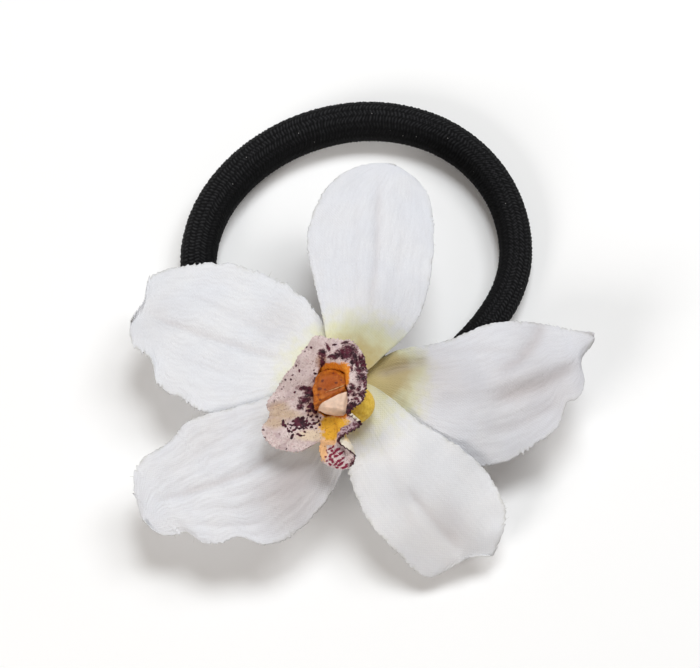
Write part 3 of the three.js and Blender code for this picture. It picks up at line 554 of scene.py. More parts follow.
def closed_tube(rings, flip=False):
    """Points and faces of a tube of rings with a fan at each end; flip turns the faces over."""
    count, sides = rings.shape[:2]
    points = np.concatenate([rings.reshape(-1, 3), [rings[0].mean(0)], [rings[-1].mean(0)]])
    faces = [tuple(face) for face in grid_faces(count, sides, wrap_columns=True)]
    for k in range(sides):
        following = (k + 1) % sides
        faces.append((count * sides, k, following))
        faces.append((count * sides + 1, (count - 1) * sides + following, (count - 1) * sides + k))
    return points, [face[::-1] for face in faces] if flip else faces


def solidify(piece, thickness, second_material=None):
    """Gives a sheet its thickness, half to each side; a second material covers its other face."""
    shell = piece.modifiers.new("thickness", "SOLIDIFY")
    shell.thickness = thickness * MM
    shell.offset = 0
    if second_material:
        piece.data.materials.append(second_material)
        shell.material_offset = 1


def dress(piece, body, node):
    """The piece rides on a body and stands for one CAD node, which it hides."""
    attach(piece, body)
    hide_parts(node)


# Materials

def opaque(tint):
    """A colour of three shares made opaque; a socket stays as it is."""
    return (*tint, 1.0) if isinstance(tint, tuple) else tint


class Skin:
    """A new material. Its tone is the colour so far, which each coat of paint changes."""

    def __init__(self, name, tone):
        self.material = bpy.data.materials.new(name)
        self.material.use_nodes = True
        self.tree = self.material.node_tree
        self.shader = self.tree.nodes["Principled BSDF"]
        self.tone = tone

    def feed(self, node, inputs):
        """Puts sockets or constants into a node, by the name or number of its inputs."""
        for key, value in inputs.items():
            if isinstance(value, bpy.types.NodeSocket):
                self.tree.links.new(value, node.inputs[key])
            else:
                node.inputs[key].default_value = value

    def node(self, kind, inputs, output=0, **settings):
        """An output of a new shader node."""
        node = self.tree.nodes.new("ShaderNode" + kind)
        for key, value in settings.items():
            setattr(node, key, value)
        self.feed(node, inputs)
        return node.outputs[output]

    def math(self, operation, first, second):
        return self.node("Math", {0: first, 1: second}, operation=operation)

    def add(self, first, second):
        return self.math("ADD", first, second)

    def times(self, first, second):
        return self.math("MULTIPLY", first, second)

    def ramp(self, value, low, high, start=0.0, end=1.0):
        """A value mapped smoothly from low..high to start..end."""
        limits = {"From Min": low, "From Max": high, "To Min": start, "To Max": end}
        return self.node("MapRange", {"Value": value, **limits}, interpolation_type="SMOOTHSTEP")

    def mix(self, factor, first, second):
        return self.node("Mix", {0: factor, 6: opaque(first), 7: opaque(second)}, 2, data_type="RGBA")

    def mark(self, name, output="Fac"):
        return self.node("Attribute", {}, output, attribute_name=name)

    def millimetres(self):
        place = self.node("TexCoord", {}, "Object")
        return self.node("VectorMath", {0: place, "Scale": 1 / MM}, operation="SCALE")

    def noise(self, vector, scale, detail=3.0, roughness=0.55):
        inputs = {"Vector": vector, "Scale": scale, "Detail": detail, "Roughness": roughness}
        return self.node("TexNoise", inputs, "Fac")

    def coat(self, factor, tint):
        self.tone = self.mix(factor, self.tone, tint)

    def coats(self, table, fields, uneven):
        """Coats in the order of a table, each by a field or else by a mark with an uneven edge."""
        for name, low, high, strength, tint in table:
            source = fields[name] if name in fields else self.add(self.mark(name), uneven)
            self.coat(self.ramp(source, low, high, 0, strength), tint)

    def finish(self, roughness, specular, relief=None, more=None):
        """Dresses the shader with the tone, a relief (height, strength and depth) and more inputs."""
        inputs = {"Roughness": roughness, "Specular IOR Level": specular, **(more or {})}
        if relief:
            height, strength, depth = relief
            bump = {"Height": height, "Strength": strength, "Distance": depth * MM}
            inputs["Normal"] = self.node("Bump", bump)
        self.feed(self.shader, {"Base Color": opaque(self.tone), **inputs})
        return self.material

    def surface(self, shader):
        self.feed(self.tree.nodes["Material Output"], {"Surface": shader})


def cover_material():
    """Black knit with painted light: highlights painted on the stitches' crowns, a side of the cord painted
    lighter, and a few pale specks of lint.
    """
    skin = Skin("black_knit", (0.0018, 0.0018, 0.0021))
    place = skin.millimetres()
    fibre = skin.noise(place, 7, 4, 0.7)
    # Painted light: the stitches' crowns are painted lighter as highlights, most on the side of the cord
    # painted lighter.
    lit_side = skin.ramp(skin.mark("painted_light_side"), 0.45, 1.0)
    crown = skin.mix(lit_side, (0.007, 0.007, 0.0075), (0.025, 0.025, 0.0268))
    skin.coat(skin.ramp(skin.mark("stitch"), 0.2, 0.9), crown)
    skin.coat(skin.ramp(fibre, 0.52, 0.75, 0, 0.5), (0.03, 0.0295, 0.031))
    lint = skin.node("TexVoronoi", {"Vector": place, "Scale": 0.55}, "Distance")
    skin.coat(skin.ramp(lint, 0.035, 0.05, 1, 0), (0.3, 0.29, 0.28))
    return skin.finish(0.85, 0.12, (fibre, 0.5, 0.05), {"Sheen Weight": 0.02, "Sheen Roughness": 0.5})


def cloth_material():
    """White stiffened cloth: a fine weave, crinkles along the tepal with painted shade in them, dye at the
    claw, darker blotches along the edges, and painted light and shade by tepal and by place.
    """
    skin = Skin("white_petal_cloth", (0.81, 0.82, 0.86))
    flat = skin.mark("flat", "Vector")
    turned = skin.node("Mapping", {"Vector": flat, "Rotation": (0, 0, math.radians(WEAVE_TURN))})
    thread = {"Vector": turned, "Scale": 0.95, "Distortion": 1.8, "Detail": 1.0, "Detail Scale": 1.5}
    warp, weft = (skin.node("TexWave", thread, "Fac", bands_direction=way) for way in ("X", "Y"))
    weave = skin.times(warp, weft)
    fan = skin.node("Mapping", {"Vector": skin.mark("fan", "Vector"), "Scale": CRINKLE_STRETCH})
    crinkle = skin.noise(fan, 1.9, 5, 0.62)
    crumpled = skin.mark("crumple")
    skin.coat(skin.ramp(skin.noise(flat, 0.12, 3), 0.35, 0.7), (0.85, 0.85, 0.87))
    skin.coat(skin.ramp(weave, 0.0, 0.5, 0.2, 0.0), (0.68, 0.68, 0.74))
    # Painted shade along the crinkles, scaled by the tepal's crumple.
    skin.coat(skin.times(skin.ramp(crinkle, 0.35, 0.6, 0.32, 0.0), crumpled), (0.66, 0.65, 0.68))
    patchy = skin.ramp(skin.noise(flat, 0.45, 4), 0.3, 0.7, -0.1, 0.1)
    # Dye near the claw; the stains add painted shade to it, darkening it towards olive in the right petal's
    # claw trough.
    dye_and_shade = skin.add(skin.mark("dye_and_shade"), patchy)
    skin.coat(skin.ramp(dye_and_shade, 0.1, 0.7, 0, 0.85), (0.78, 0.77, 0.48))
    skin.coat(skin.ramp(dye_and_shade, 0.55, 1.1, 0, 0.85), (0.60, 0.47, 0.19))
    # Darker blotches along the cut edges.
    edge_blotches = skin.ramp(skin.noise(flat, 0.5, 3), 0.4, 0.65, 0.05, 0.45)
    skin.coat(skin.times(skin.mark("edge"), edge_blotches), (0.50, 0.49, 0.42))
    # Painted light and shade: each tepal's tone scaled by its own level, so some tepals come out lighter or
    # darker.
    lit_and_shaded_tone = {0: skin.tone, 1: skin.mark("painted_light_level", "Vector")}
    skin.tone = skin.node("VectorMath", lit_and_shaded_tone, operation="MULTIPLY")
    # Painted shade: warm grey over places meant to lie in shade and in the creases.
    skin.coat(skin.mark("painted_shade"), (0.415, 0.345, 0.33))
    slub = skin.times(skin.noise(turned, 2.2, 4, 0.65), 0.9)
    folds = skin.times(crinkle, skin.times(crumpled, 3.5))
    height = skin.add(skin.add(weave, slub), folds)
    material = skin.finish(0.8, 0.2, (height, 0.4, 0.08), {"Sheen Weight": 0.05})
    glow = skin.node("BsdfTranslucent", {"Color": skin.tone})
    skin.surface(skin.node("MixShader", {0: CLOTH_GLOW, 1: skin.shader.outputs[0], 2: glow}))
    return material


def lip_inside_material():
    """Pale pink moulding with an orange throat, a yellow shelf and maroon patches and spots, painted shade
    over the upper left lobe and along the shelf's upper edge, and painted highlights in fine pale specks.
    """
    skin = Skin("lip_painted", (0.54, 0.39, 0.38))
    place = skin.millimetres()
    grain = skin.noise(place, 2.6, 4, 0.6)
    fine = skin.noise(place, 6, 3, 0.6)
    uneven = skin.ramp(grain, 0.3, 0.7, -0.2, 0.2)
    ragged = skin.add(skin.ramp(grain, 0.2, 0.8, -0.45, 0.45), skin.ramp(fine, 0.2, 0.8, -0.4, 0.4))
    less_ragged = skin.times(ragged, 0.4)
    patches = skin.add(skin.mark("patches"), ragged)
    fields = {"grain": grain, "fine": fine, "cloud": skin.noise(place, 0.5, 3), "patches": patches}
    skin.coats(LIP_COATS, fields, uneven)
    orange = skin.mix(skin.ramp(fine, 0.35, 0.65), (0.62, 0.16, 0.015), (0.85, 0.34, 0.03))
    frill = skin.mix(skin.ramp(grain, 0.4, 0.6), (0.13, 0.04, 0.06), (0.55, 0.40, 0.42))
    skin.coats([("throat", 0.35, 0.65, 1, orange), ("fringe", 0.4, 0.7, 1, frill)], {}, uneven)
    spots = skin.add(skin.mark("spots"), less_ragged)
    stain = skin.math("MAXIMUM", skin.ramp(patches, 0.15, 0.85), skin.ramp(spots, 0.3, 0.6))
    deep = skin.ramp(skin.noise(place, 1.6, 3), 0.35, 0.7)
    skin.coat(stain, skin.mix(deep, (0.020, 0.003, 0.008), (0.11, 0.018, 0.036)))
    crimson = skin.add(skin.mark("crimson"), less_ragged)
    skin.coat(skin.ramp(crimson, 0.2, 0.55), (0.22, 0.016, 0.045))
    gloss = skin.ramp(grain, 0.3, 0.7, 0.42, 0.6)
    return skin.finish(gloss, 0.2, (skin.add(grain, skin.times(fine, 0.5)), 0.5, 0.15))


def lip_outside_material():
    """Yellow outside, paler and pink towards the free edge."""
    skin = Skin("lip_back", (0.73, 0.43, 0.035))
    grain = skin.noise(skin.millimetres(), 2.6, 4, 0.6)
    skin.coat(skin.ramp(grain, 0.3, 0.7), (0.87, 0.61, 0.09))
    rim = skin.add(skin.mark("rim"), skin.ramp(grain, 0.3, 0.7, -0.12, 0.12))
    skin.coat(skin.ramp(rim, 0.45, 0.85), (0.74, 0.66, 0.54))
    return skin.finish(0.5, 0.4, (grain, 0.5, 0.12))


def column_material():
    """Orange moulding: painted shade in red-brown below, painted light in amber at the top right, a painted
    highlight along a pale ridge and a few brown spots.
    """
    skin = Skin("orange_moulding", (0.34, 0.07, 0.007))
    place = skin.millimetres()
    grain = skin.noise(place, 1.6, 5, 0.65)
    fine = skin.noise(place, 5, 3, 0.6)
    uneven = skin.ramp(grain, 0.3, 0.7, -0.3, 0.3)
    skin.coats(COLUMN_COATS, {"grain": grain, "fine": fine}, uneven)
    height = skin.add(grain, skin.times(skin.mark("ridge_highlight"), 2.0))
    height = skin.add(height, skin.times(fine, 0.6))
    return skin.finish(0.5, 0.3, (height, 0.8, 0.2))


def plain_material(name, base, roughness, metallic=0.0, mottle=0.1, grain=1.5, depth=0.05):
    """A moulded, spun or drawn surface with a little variation of colour and a grain."""
    skin = Skin(name, tuple(channel * (1 - mottle) for channel in base))
    cloud = skin.noise(skin.millimetres(), grain, 5, 0.6)
    skin.coat(skin.ramp(cloud, 0.3, 0.7), tuple(min(1.0, channel * (1 + mottle)) for channel in base))
    gloss = skin.ramp(cloud, 0.3, 0.7, roughness - 0.06, roughness + 0.06)
    return skin.finish(gloss, 0.5, (cloud, 0.5, depth), {"Metallic": metallic})


# Elastic loop

def cord_diameter(bearing):
    nearness = 0.5 + 0.5 * np.cos(bearing - math.radians(SWELL_BEARING))
    return CORD_DIAMETER + CORD_SWELL * nearness ** SWELL_POWER


def cord_centre(bearing):
    """Points of the cord's centreline, from the middle of the loop on the table."""
    half = FERRULE_LENGTH / 2
    towards_front = np.maximum(0, -np.sin(bearing))
    side = np.sign(np.cos(bearing)) * np.where(towards_front > 0, half, 0)
    pinch = 1 - LOOP_PINCH * towards_front ** 2
    x = side + (LOOP_WIDTH / 2 - np.abs(side)) * np.cos(bearing) * pinch
    y = LOOP_DEPTH / 2 * np.sin(bearing) + LOOP_LEAN * np.cos(bearing) * (1 + np.sin(bearing)) / 2
    resting = cord_diameter(bearing) / 2 * math.cos(math.pi / COVER_SIDES_IN_CAD)
    lift = towards_front ** 3 * (towards_front * (towards_front * 6 - 15) + 10)
    return np.stack([x, y, resting + (AXIS_HEIGHT - resting) * lift], -1)


def cord_line(step):
    """Stations along the cord at an even step: distance, centre, sideways direction and diameter."""
    margin = math.radians(SPLICE_MARGIN)
    bearing = np.linspace(-math.pi / 2 + margin, 1.5 * math.pi - margin, CORD_POINTS)
    ends = [np.array([[side * SPLICE_GAP / 2, -LOOP_DEPTH / 2, AXIS_HEIGHT]]) for side in (1, -1)]
    line = np.concatenate([ends[0], cord_centre(bearing), ends[1]])
    thick = np.concatenate([[CORD_DIAMETER], cord_diameter(bearing), [CORD_DIAMETER]])
    along = distances(line)
    at = np.linspace(0, along[-1], int(along[-1] / step))
    centre = np.stack([np.interp(at, along, line[:, k]) for k in range(3)], -1)
    ahead = np.gradient(centre, axis=0)
    sideways = unit(np.stack([ahead[:, 1], -ahead[:, 0], np.zeros(len(at))], -1))
    return at, centre + LOOP_MIDDLE, sideways, np.interp(at, along, thick)


def rings_round(centre, sideways, radius, sides, offset=(0, 0)):
    """Rings of points round a line; radius is a number, or has a value for each ring and side."""
    angle = turns(sides)
    radius = np.broadcast_to(radius, (len(centre), sides))
    across = offset[0] + radius * np.cos(angle)
    points = centre[:, None] + across[..., None] * sideways[:, None]
    points[..., 2] += offset[1] + radius * np.sin(angle)
    return points


def stitch_height(at):
    """Height of the knit's stitches from 0 to 1, for each station and side of the cover."""
    angle = np.arange(COVER_SIDES) / COVER_SIDES * STITCH_ROWS
    row = np.floor(angle)
    across_row = angle - row
    slant = np.where(row % 2 == 0, 1, -1) * STITCH_SLANT * (across_row - 0.5)
    places = np.stack(np.meshgrid(at, angle, indexing="ij"), -1)
    uneven = STITCH_UNEVENNESS * rough_field(places / (9, 2), 1)
    loose = 1 - STITCH_LOOSENESS * smoothstep(rough_field(places / (0.8, 1), 1), -0.4, 1.2)
    shift = slant + RANDOM.uniform(0, 1, STITCH_ROWS)[row.astype(int)]
    phase = at[:, None] / STITCH_PITCH + shift[None] + uneven
    crown = np.abs(np.sin(math.pi * phase)) ** 1.1
    return crown * loose * (0.5 + 0.5 * np.sin(math.pi * across_row) ** 0.7)[None]


def make_cover(material):
    """The knitted cover, a tube with an open bore."""
    at, centre, sideways, thick = cord_line(STITCH_PITCH / STITCH_STEPS)
    stitch = stitch_height(at)
    outer = rings_round(centre, sideways, thick[:, None] / 2 - STITCH_DEPTH * (1 - stitch), COVER_SIDES)
    kept = np.append(np.arange(0, len(at) - 1, BORE_STEP), len(at) - 1)[::-1]
    inner = rings_round(centre[kept], sideways[kept], COVER_BORE_RADIUS, COVER_SIDES)
    points = np.concatenate([outer, inner])
    faces = grid_faces(len(points), COVER_SIDES, wrap_rows=True, wrap_columns=True)
    bore = np.zeros(len(kept) * COVER_SIDES)
    # Painted light: how near each point of the cover lies to the side painted lighter
    painted_light_side = np.tile(0.5 + 0.5 * np.cos(turns(COVER_SIDES) - math.radians(PAINTED_LIGHT_SIDE)), len(at))
    marks = {"stitch": np.concatenate([stitch.ravel(), bore]), "painted_light_side": np.concatenate([painted_light_side, bore])}
    piece = mesh_piece("elastic_cover_knit", points.reshape(-1, 3), faces, material, marks)
    dress(piece, "loop", "elastic_cover")


def make_strands(material):
    """Seven rubber strands inside the cover, each a little uneven along its length."""
    at, centre, sideways, _ = cord_line(STRAND_STEP)
    for number in range(1 + STRANDS_ROUND_CORE):
        angle = 2 * math.pi * (number - 1) / STRANDS_ROUND_CORE
        spacing = STRAND_SPACING if number else 0
        offset = (spacing * math.cos(angle), spacing * math.sin(angle))
        uneven = STRAND_THINNING + STRAND_UNEVENNESS * rough_field(at[:, None], 6)
        radius = STRAND_DIAMETER / 2 * uneven[:, None]
        rings = rings_round(centre, sideways, radius, STRAND_SIDES, offset)
        piece = mesh_piece(f"strand_{number + 1}_rubber", *closed_tube(rings), material)
        dress(piece, "loop", f"rubber_strand_{number + 1}")


def make_ferrule(material):
    """Metal tube along the splice, flared at both ends and crimped in two rows."""
    half = FERRULE_LENGTH / 2
    rim = size_of("splice_ferrule")[1][2] - AXIS_HEIGHT
    body = rim - FERRULE_RIM
    bore = body - FERRULE_WALL
    flat = half - FERRULE_RIM_WIDTH
    section = [
        (-half, bore), (-half, rim), (-flat, body), (flat, body), (half, rim), (half, bore), (-half, bore)]
    rows, sides = FERRULE_GRID
    along, radius = resample(section, np.linspace(0, 1, rows, endpoint=False)).T
    angle = turns(sides)
    in_row = falloff(np.abs(along) - half * CRIMP_PLACE, CRIMP_WIDTH)[:, None]
    radius = radius[:, None] - CRIMP_DEPTH * (in_row * np.maximum(0, np.cos(CRIMPS_ROUND * angle)) ** 2)
    points = stacked(along[:, None], radius * np.cos(angle), radius * np.sin(angle))
    faces = grid_faces(rows, sides, wrap_rows=True, wrap_columns=True)[:, ::-1]
    piece = mesh_piece("ferrule_plated", points.reshape(-1, 3) + SPLICE, faces, material)
    dress(piece, "loop", "splice_ferrule")


def make_keeper(material):
    """Woven tape under the ferrule, with a flange on each side under the felt."""
    low, high = size_of("keeper_loop")
    radius = AXIS_HEIGHT - low[2] - KEEPER_THICKNESS / 2
    flange_height = high[2] - KEEPER_THICKNESS / 2 - AXIS_HEIGHT
    reach = radius + KEEPER_THICKNESS / 2 + KEEPER_FLANGE
    arc = np.linspace(math.pi, 2 * math.pi, KEEPER_ARC)
    path = [(-reach, flange_height), (-radius, flange_height)]
    path += [(radius * math.cos(angle), radius * math.sin(angle)) for angle in arc]
    path += [(radius, flange_height), (reach, flange_height)]
    rows, columns = KEEPER_GRID
    path = resample(path, np.linspace(0, 1, rows))
    width = np.linspace(low[0], high[0], columns) - SPLICE[0]
    ahead = unit(np.gradient(path, axis=0))
    along_rib, across_rib = (np.cos(np.arange(count) * math.pi / 2) for count in KEEPER_GRID)
    rib = KEEPER_RIB * along_rib[:, None] * across_rib[None]
    y = path[:, :1] + ahead[:, 1:] * rib
    z = path[:, 1:] - ahead[:, :1] * rib
    points = stacked(width[None], y, z).reshape(-1, 3) + SPLICE
    piece = mesh_piece("keeper_tape", points, grid_faces(rows, columns), material)
    solidify(piece, KEEPER_THICKNESS - 2 * KEEPER_RIB)
    dress(piece, "flower", "keeper_loop")


# Under the flower

def spun_rings(profile):
    """Rings round a standing axis from a profile of radii and heights, and the angles of their points."""
    rows, sides = SPUN_GRID
    radius, height = resample(profile, np.linspace(0, 1, rows)).T
    angle = turns(sides)
    x, y = radius[:, None] * np.cos(angle), radius[:, None] * np.sin(angle)
    return stacked(x, y, height[:, None]), angle


def spun_piece(name, rings, material, node):
    """A closed piece from rings round the middle of the CAD node that it stands for."""
    points, faces = closed_tube(rings, flip=True)
    piece = mesh_piece(name, points + plan_middle(node), faces, material)
    dress(piece, "flower", node)


def disc_size(node):
    """Bottom, top and radius of a round node."""
    low, high = size_of(node)
    return low[2], high[2], (high[0] - low[0]) / 2


def make_felt(material):
    """Pressed felt disc with a soft, uneven surface."""
    bottom, top, radius = disc_size("felt_base")
    low, high, face = bottom + FELT_INSET, top - FELT_INSET, radius - FELT_ROUNDING
    rings, _ = spun_rings([
        (SPUN_CORE, low), (face, low), (radius - FELT_INSET, (bottom + top) / 2), (face, high),
        (SPUN_CORE, high)])
    rings += FELT_NAP * rough_field(rings, 0.9)[..., None]
    spun_piece("felt_disc", rings, material, "felt_base")


def make_glue(material):
    """Pad of hot-melt glue, pressed out unevenly."""
    bottom, top, radius = disc_size("glue_pad")
    rings, angle = spun_rings([
        (SPUN_CORE, bottom), (radius * 0.93, bottom), (radius, (bottom + top) / 2), (radius * 0.9, top),
        (SPUN_CORE, top)])
    around = np.stack([np.cos(angle), np.sin(angle)], -1)
    rings[..., :2] *= (GLUE_SHRINKING + GLUE_UNEVENNESS * rough_field(around, 0.9))[None, :, None]
    spun_piece("glue_blob", rings, material, "glue_pad")


def make_calyx(material):
    """Moulded receptacle: a ribbed flange and the stepped peg that carries the tepals."""
    bottom, top, radius = disc_size("calyx_peg")
    flange = bottom + CALYX_FLANGE
    shoulder = top - PEG_NECK_LENGTH
    rings, angle = spun_rings([
        (SPUN_CORE, bottom), (radius * 0.75, bottom), (radius, bottom + 0.6), (radius, flange),
        (PEG_RADIUS, flange), (PEG_RADIUS, shoulder), (PEG_NECK_RADIUS, shoulder), (PEG_NECK_RADIUS, top),
        (SPUN_CORE, top)])
    outer = smoothstep(np.hypot(rings[..., 0], rings[..., 1]), PEG_RADIUS, radius)
    rings[..., :2] *= (1 - CALYX_RIB_DEPTH * outer * (1 - np.cos(CALYX_RIBS * angle)))[..., None]
    spun_piece("calyx_moulding", rings, material, "calyx_peg")


# Tepals

def closed_curve(corners, samples):
    """A closed centripetal Catmull-Rom curve through the corners, as a fine line of points."""
    corners = np.asarray(corners, float)
    line = []
    share = np.linspace(0, 1, samples, endpoint=False)[:, None]
    for k in range(len(corners)):
        p0, p1, p2, p3 = (corners[(k + j) % len(corners)] for j in (-1, 0, 1, 2))
        d0, d1, d2 = (math.sqrt(np.linalg.norm(b - a)) for a, b in ((p0, p1), (p1, p2), (p2, p3)))
        leave = ((p1 - p0) / d0 - (p2 - p0) / (d0 + d1) + (p2 - p1) / d1) * d1
        arrive = ((p2 - p1) / d1 - (p3 - p1) / (d1 + d2) + (p3 - p2) / d2) * d1
        line.append(
            (2 * share ** 3 - 3 * share ** 2 + 1) * p1 + (share ** 3 - 2 * share ** 2 + share) * leave
            + (3 * share ** 2 - 2 * share ** 3) * p2 + (share ** 3 - share ** 2) * arrive)
    return np.concatenate(line)


def tepal_edges(tepal):
    """The right and left edge from claw to tip, as points at even shares of their length."""
    start = (PEG_NECK_RADIUS if tepal["layer"] else PEG_RADIUS) + CLEARANCE
    corners = [(start, -CLAW_HALF_WIDTH)]
    corners += [(along * tepal["length"], across * tepal["width"]) for along, across in tepal["outline"]]
    corners += [(start, CLAW_HALF_WIDTH)]
    line = closed_curve(corners, CURVE_SAMPLES)
    tip = int(np.argmax([along for along, _ in corners])) * CURVE_SAMPLES
    end = (len(corners) - 1) * CURVE_SAMPLES
    shares = np.linspace(0, EDGE_END, TEPAL_ROWS)
    return resample(line[:tip + 1], shares), resample(line[tip:end + 1][::-1], shares)


def fray_edges(edges, tepal):
    """Moves the edges in and out where the cut cloth has frayed."""
    middle = (edges[0] + edges[1]) / 2
    grows = smoothstep(np.linspace(0, 1, TEPAL_ROWS), 0.1, 0.3)
    for edge in edges:
        along = distances(edge)[:, None]
        ragged = FRAY_LEAST + FRAY_MORE * smoothstep(rough_field(along, 7), 0.2, 1.0)
        cut = EDGE_WANDER * rough_field(along, 3.5) + ragged * rough_field(along, 0.9)
        edge += unit(edge - middle) * (cut * grows * tepal["fray"])[:, None]


def nick_edges(edges, nicks):
    """Cuts the edges in round places: along, across, radius and depth."""
    middle = (edges[0] + edges[1]) / 2
    for along, across, radius, depth in nicks:
        for edge in edges:
            cut = depth * bell(edge, along, across, radius, radius)
            edge -= unit(edge - middle) * cut[:, None]


def flower_form(x, y):
    """Height of the open flower at a plan point: each tepal's rise, blended by direction."""
    direction = np.arctan2(y, x)
    total = weights = 0
    for tepal in TEPALS:
        weight = np.exp(FORM_SPREAD * np.cos(direction - math.radians(tepal["heading"])))
        total = total + weight * tepal["rise"] / tepal["length"] ** FORM_POWER
        weights = weights + weight
    return total / weights * np.hypot(x, y) ** FORM_POWER


def crease_profile(flat, path, width):
    """1 along a line of plan points, fading out sideways and at both ends."""
    line = resample(path, np.linspace(0, 1, CREASE_SAMPLES))
    distance = np.linalg.norm(flat[:, :, None] - line[None, None], axis=-1)
    nearest = distance.argmin(-1) / (len(line) - 1)
    fade = smoothstep(nearest, 0, CREASE_ENDS) * smoothstep(1 - nearest, 0, CREASE_ENDS)
    return fade * falloff(distance.min(-1), width)


def tepal_relief(tepal, flat, t, c):
    """Height above the flower's form: t runs from claw to tip, c from edge to edge."""
    body = np.sin(math.pi * t)
    relief = tepal["crown"] * body * (1 - c * c)
    relief = relief + tepal["ruffle"] * t * np.abs(c) ** 3 * np.sin(2 * math.pi * tepal["waves"] * t + c)
    relief = relief + CLAW_ROLL * (1 - t) ** 6 * c * c
    across = c * tepal["width"] * PLEAT_ACROSS
    fan = stacked(across, flat[..., 0] / PLEAT_ALONG)
    relief = relief + tepal["pleat"] * np.sqrt(body) * rough_field(fan, 0.8, PLEAT_WAVES)
    relief = relief + CLOTH_SWELL * smoothstep(t, 0.1, 0.5) * rough_field(flat, 10)
    for path, depth, width in tepal["creases"]:
        relief = relief - depth * crease_profile(flat, path, width)
    for along, across, radius, lift in tepal["curls"]:
        relief = relief + lift * bell(flat, along, across, radius, radius)
    return relief


def soft_areas(flat, areas):
    """1 less the strength of soft oval areas of the cloth."""
    clear = np.ones(flat.shape[:-1])
    for *oval, strength in areas:
        clear = clear * (1 - strength * bell(flat, *oval))
    return clear


def tepal_painted_shade(tepal, flat):
    """Strength of the painted shade: a warm grey over places of the cloth meant to lie in shade and in its
    creases.
    """
    clear = soft_areas(flat, tepal["painted_shades"])
    for path, depth, width in tepal["creases"]:
        clear = clear * (1 - CREASE_SHADE * max(depth, 0) * crease_profile(flat, path, 0.6 * width))
    return 1 - clear


def thread_tube(start, lean, length):
    """A thin bent tube that leaves a point in a direction."""
    rows, sides = THREAD_GRID
    share = np.linspace(0, 1, rows)[:, None]
    line = start + length * (lean * share + RANDOM.normal(0, THREAD_BEND, 3) * share ** 2)
    first = unit(np.cross(lean, (0, 0, 1)))
    second = unit(np.cross(first, lean))
    angle = turns(sides)[:, None]
    ring = np.cos(angle) * first + np.sin(angle) * second
    return closed_tube(line[:, None] + THREAD_RADIUS * (1 - 0.5 * share[:, None]) * ring)


def make_threads(tepal, edges, material):
    """Short loose threads that stand out of the frayed edges."""
    points, faces = np.zeros((0, 3)), []
    for edge in edges:
        outward = unit(edge - (edges[0] + edges[1]) / 2)
        ahead = unit(np.gradient(edge, axis=0))
        count = int(THREADS_AN_EDGE * tepal["fray"]) + 1
        for row in RANDOM.choice(np.arange(THREADS_FROM_ROW, TEPAL_ROWS - 2), count, replace=False):
            lean = unit(outward[row] + RANDOM.normal(0, THREAD_LEAN) * ahead[row])
            root = edge[row] - THREAD_ROOT * outward[row]
            tube, tube_faces = thread_tube(root, lean, RANDOM.uniform(*THREAD_LENGTHS))
            faces += [tuple(len(points) + k for k in face) for face in tube_faces]
            points = np.concatenate([points, tube])
    piece = mesh_piece(tepal["name"] + "_threads", points, faces, material)
    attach(piece, "flower")
    return piece


def tepal_marks(tepal, flat, c, inset):
    """What the cloth's material reads at each point; inset is the distance from the edge."""
    count = flat[..., 0].size
    near_claw = 1 - smoothstep(np.hypot(flat[..., 0], flat[..., 1]), *DYE_REACH)
    # Dye near the claw, plus the stains' painted shade.
    dye_and_shade = tepal["dyed"] * near_claw + 1 - soft_areas(flat, tepal["dyed_shades"])
    fan = stacked(flat[..., 0], c * tepal["width"] / 2, 0)
    return {
        "flat": np.pad(flat.reshape(-1, 2), ((0, 0), (0, 1))),
        "fan": fan.reshape(-1, 3),
        "dye_and_shade": dye_and_shade.ravel(),
        "edge": falloff(inset, EDGE_DARKENING_REACH).ravel(),
        # Painted light and shade for the whole tepal.
        "painted_light_level": np.tile(tepal["painted_light_level"], (count, 1)),
        "crumple": np.full(count, tepal["crumple"]),
        # Painted shade by place and in the creases.
        "painted_shade": tepal_painted_shade(tepal, flat).ravel(),
    }


def make_tepal(tepal, cloth, thread):
    """One tepal's cloth and its loose threads."""
    edges = tepal_edges(tepal)
    fray_edges(edges, tepal)
    nick_edges(edges, tepal["nicks"])
    share = np.linspace(0, 1, TEPAL_COLUMNS)[None, :, None]
    flat = edges[0][:, None] * (1 - share) + edges[1][:, None] * share
    t = np.linspace(0, 1, TEPAL_ROWS)[:, None]
    c = 2 * share[..., 0] - 1
    heading = math.radians(tepal["heading"])
    x, y = turned(flat[..., 0], flat[..., 1], heading)
    height = PEG_TOP - SEPALS_BELOW_PEG_TOP - (0 if tepal["layer"] else LAYER_STEP)
    z = height + flower_form(x, y) + tepal_relief(tepal, flat, t, c)
    points = np.stack([x, y, z], -1) + FLOWER_MIDDLE
    half_width = np.linalg.norm(edges[1] - edges[0], axis=1)[:, None] / 2
    inset = np.minimum((1 - np.abs(c)) * half_width, (1 - t) * tepal["length"])
    marks = tepal_marks(tepal, flat, c, inset)
    faces = grid_faces(TEPAL_ROWS, TEPAL_COLUMNS)
    piece = mesh_piece(tepal["name"] + "_cloth", points.reshape(-1, 3), faces, cloth, marks)
    solidify(piece, FABRIC_THICKNESS)
    dress(piece, "flower", tepal["name"])
    threads = make_threads(tepal, (points[:, 0], points[:, -1]), thread)


# Lip, column and anther cap

def catmull_rom(values, at, closed):
    """Values at fractional places along a uniform Catmull-Rom curve through the rows of values."""
    count = len(values)
    index = np.floor(at).astype(int)
    if not closed:
        index = np.minimum(index, count - 2)
    share = (at - index).reshape((-1,) + (1,) * (values.ndim - 1))
    around = [index + step for step in (-1, 0, 1, 2)]
    p0, p1, p2, p3 = (values[k % count if closed else np.clip(k, 0, count - 1)] for k in around)
    return 0.5 * (2 * p1 + (p2 - p0) * share + (2 * p0 - 5 * p1 + 4 * p2 - p3) * share ** 2
                  + (3 * p1 - p0 - 3 * p2 + p3) * share ** 3)


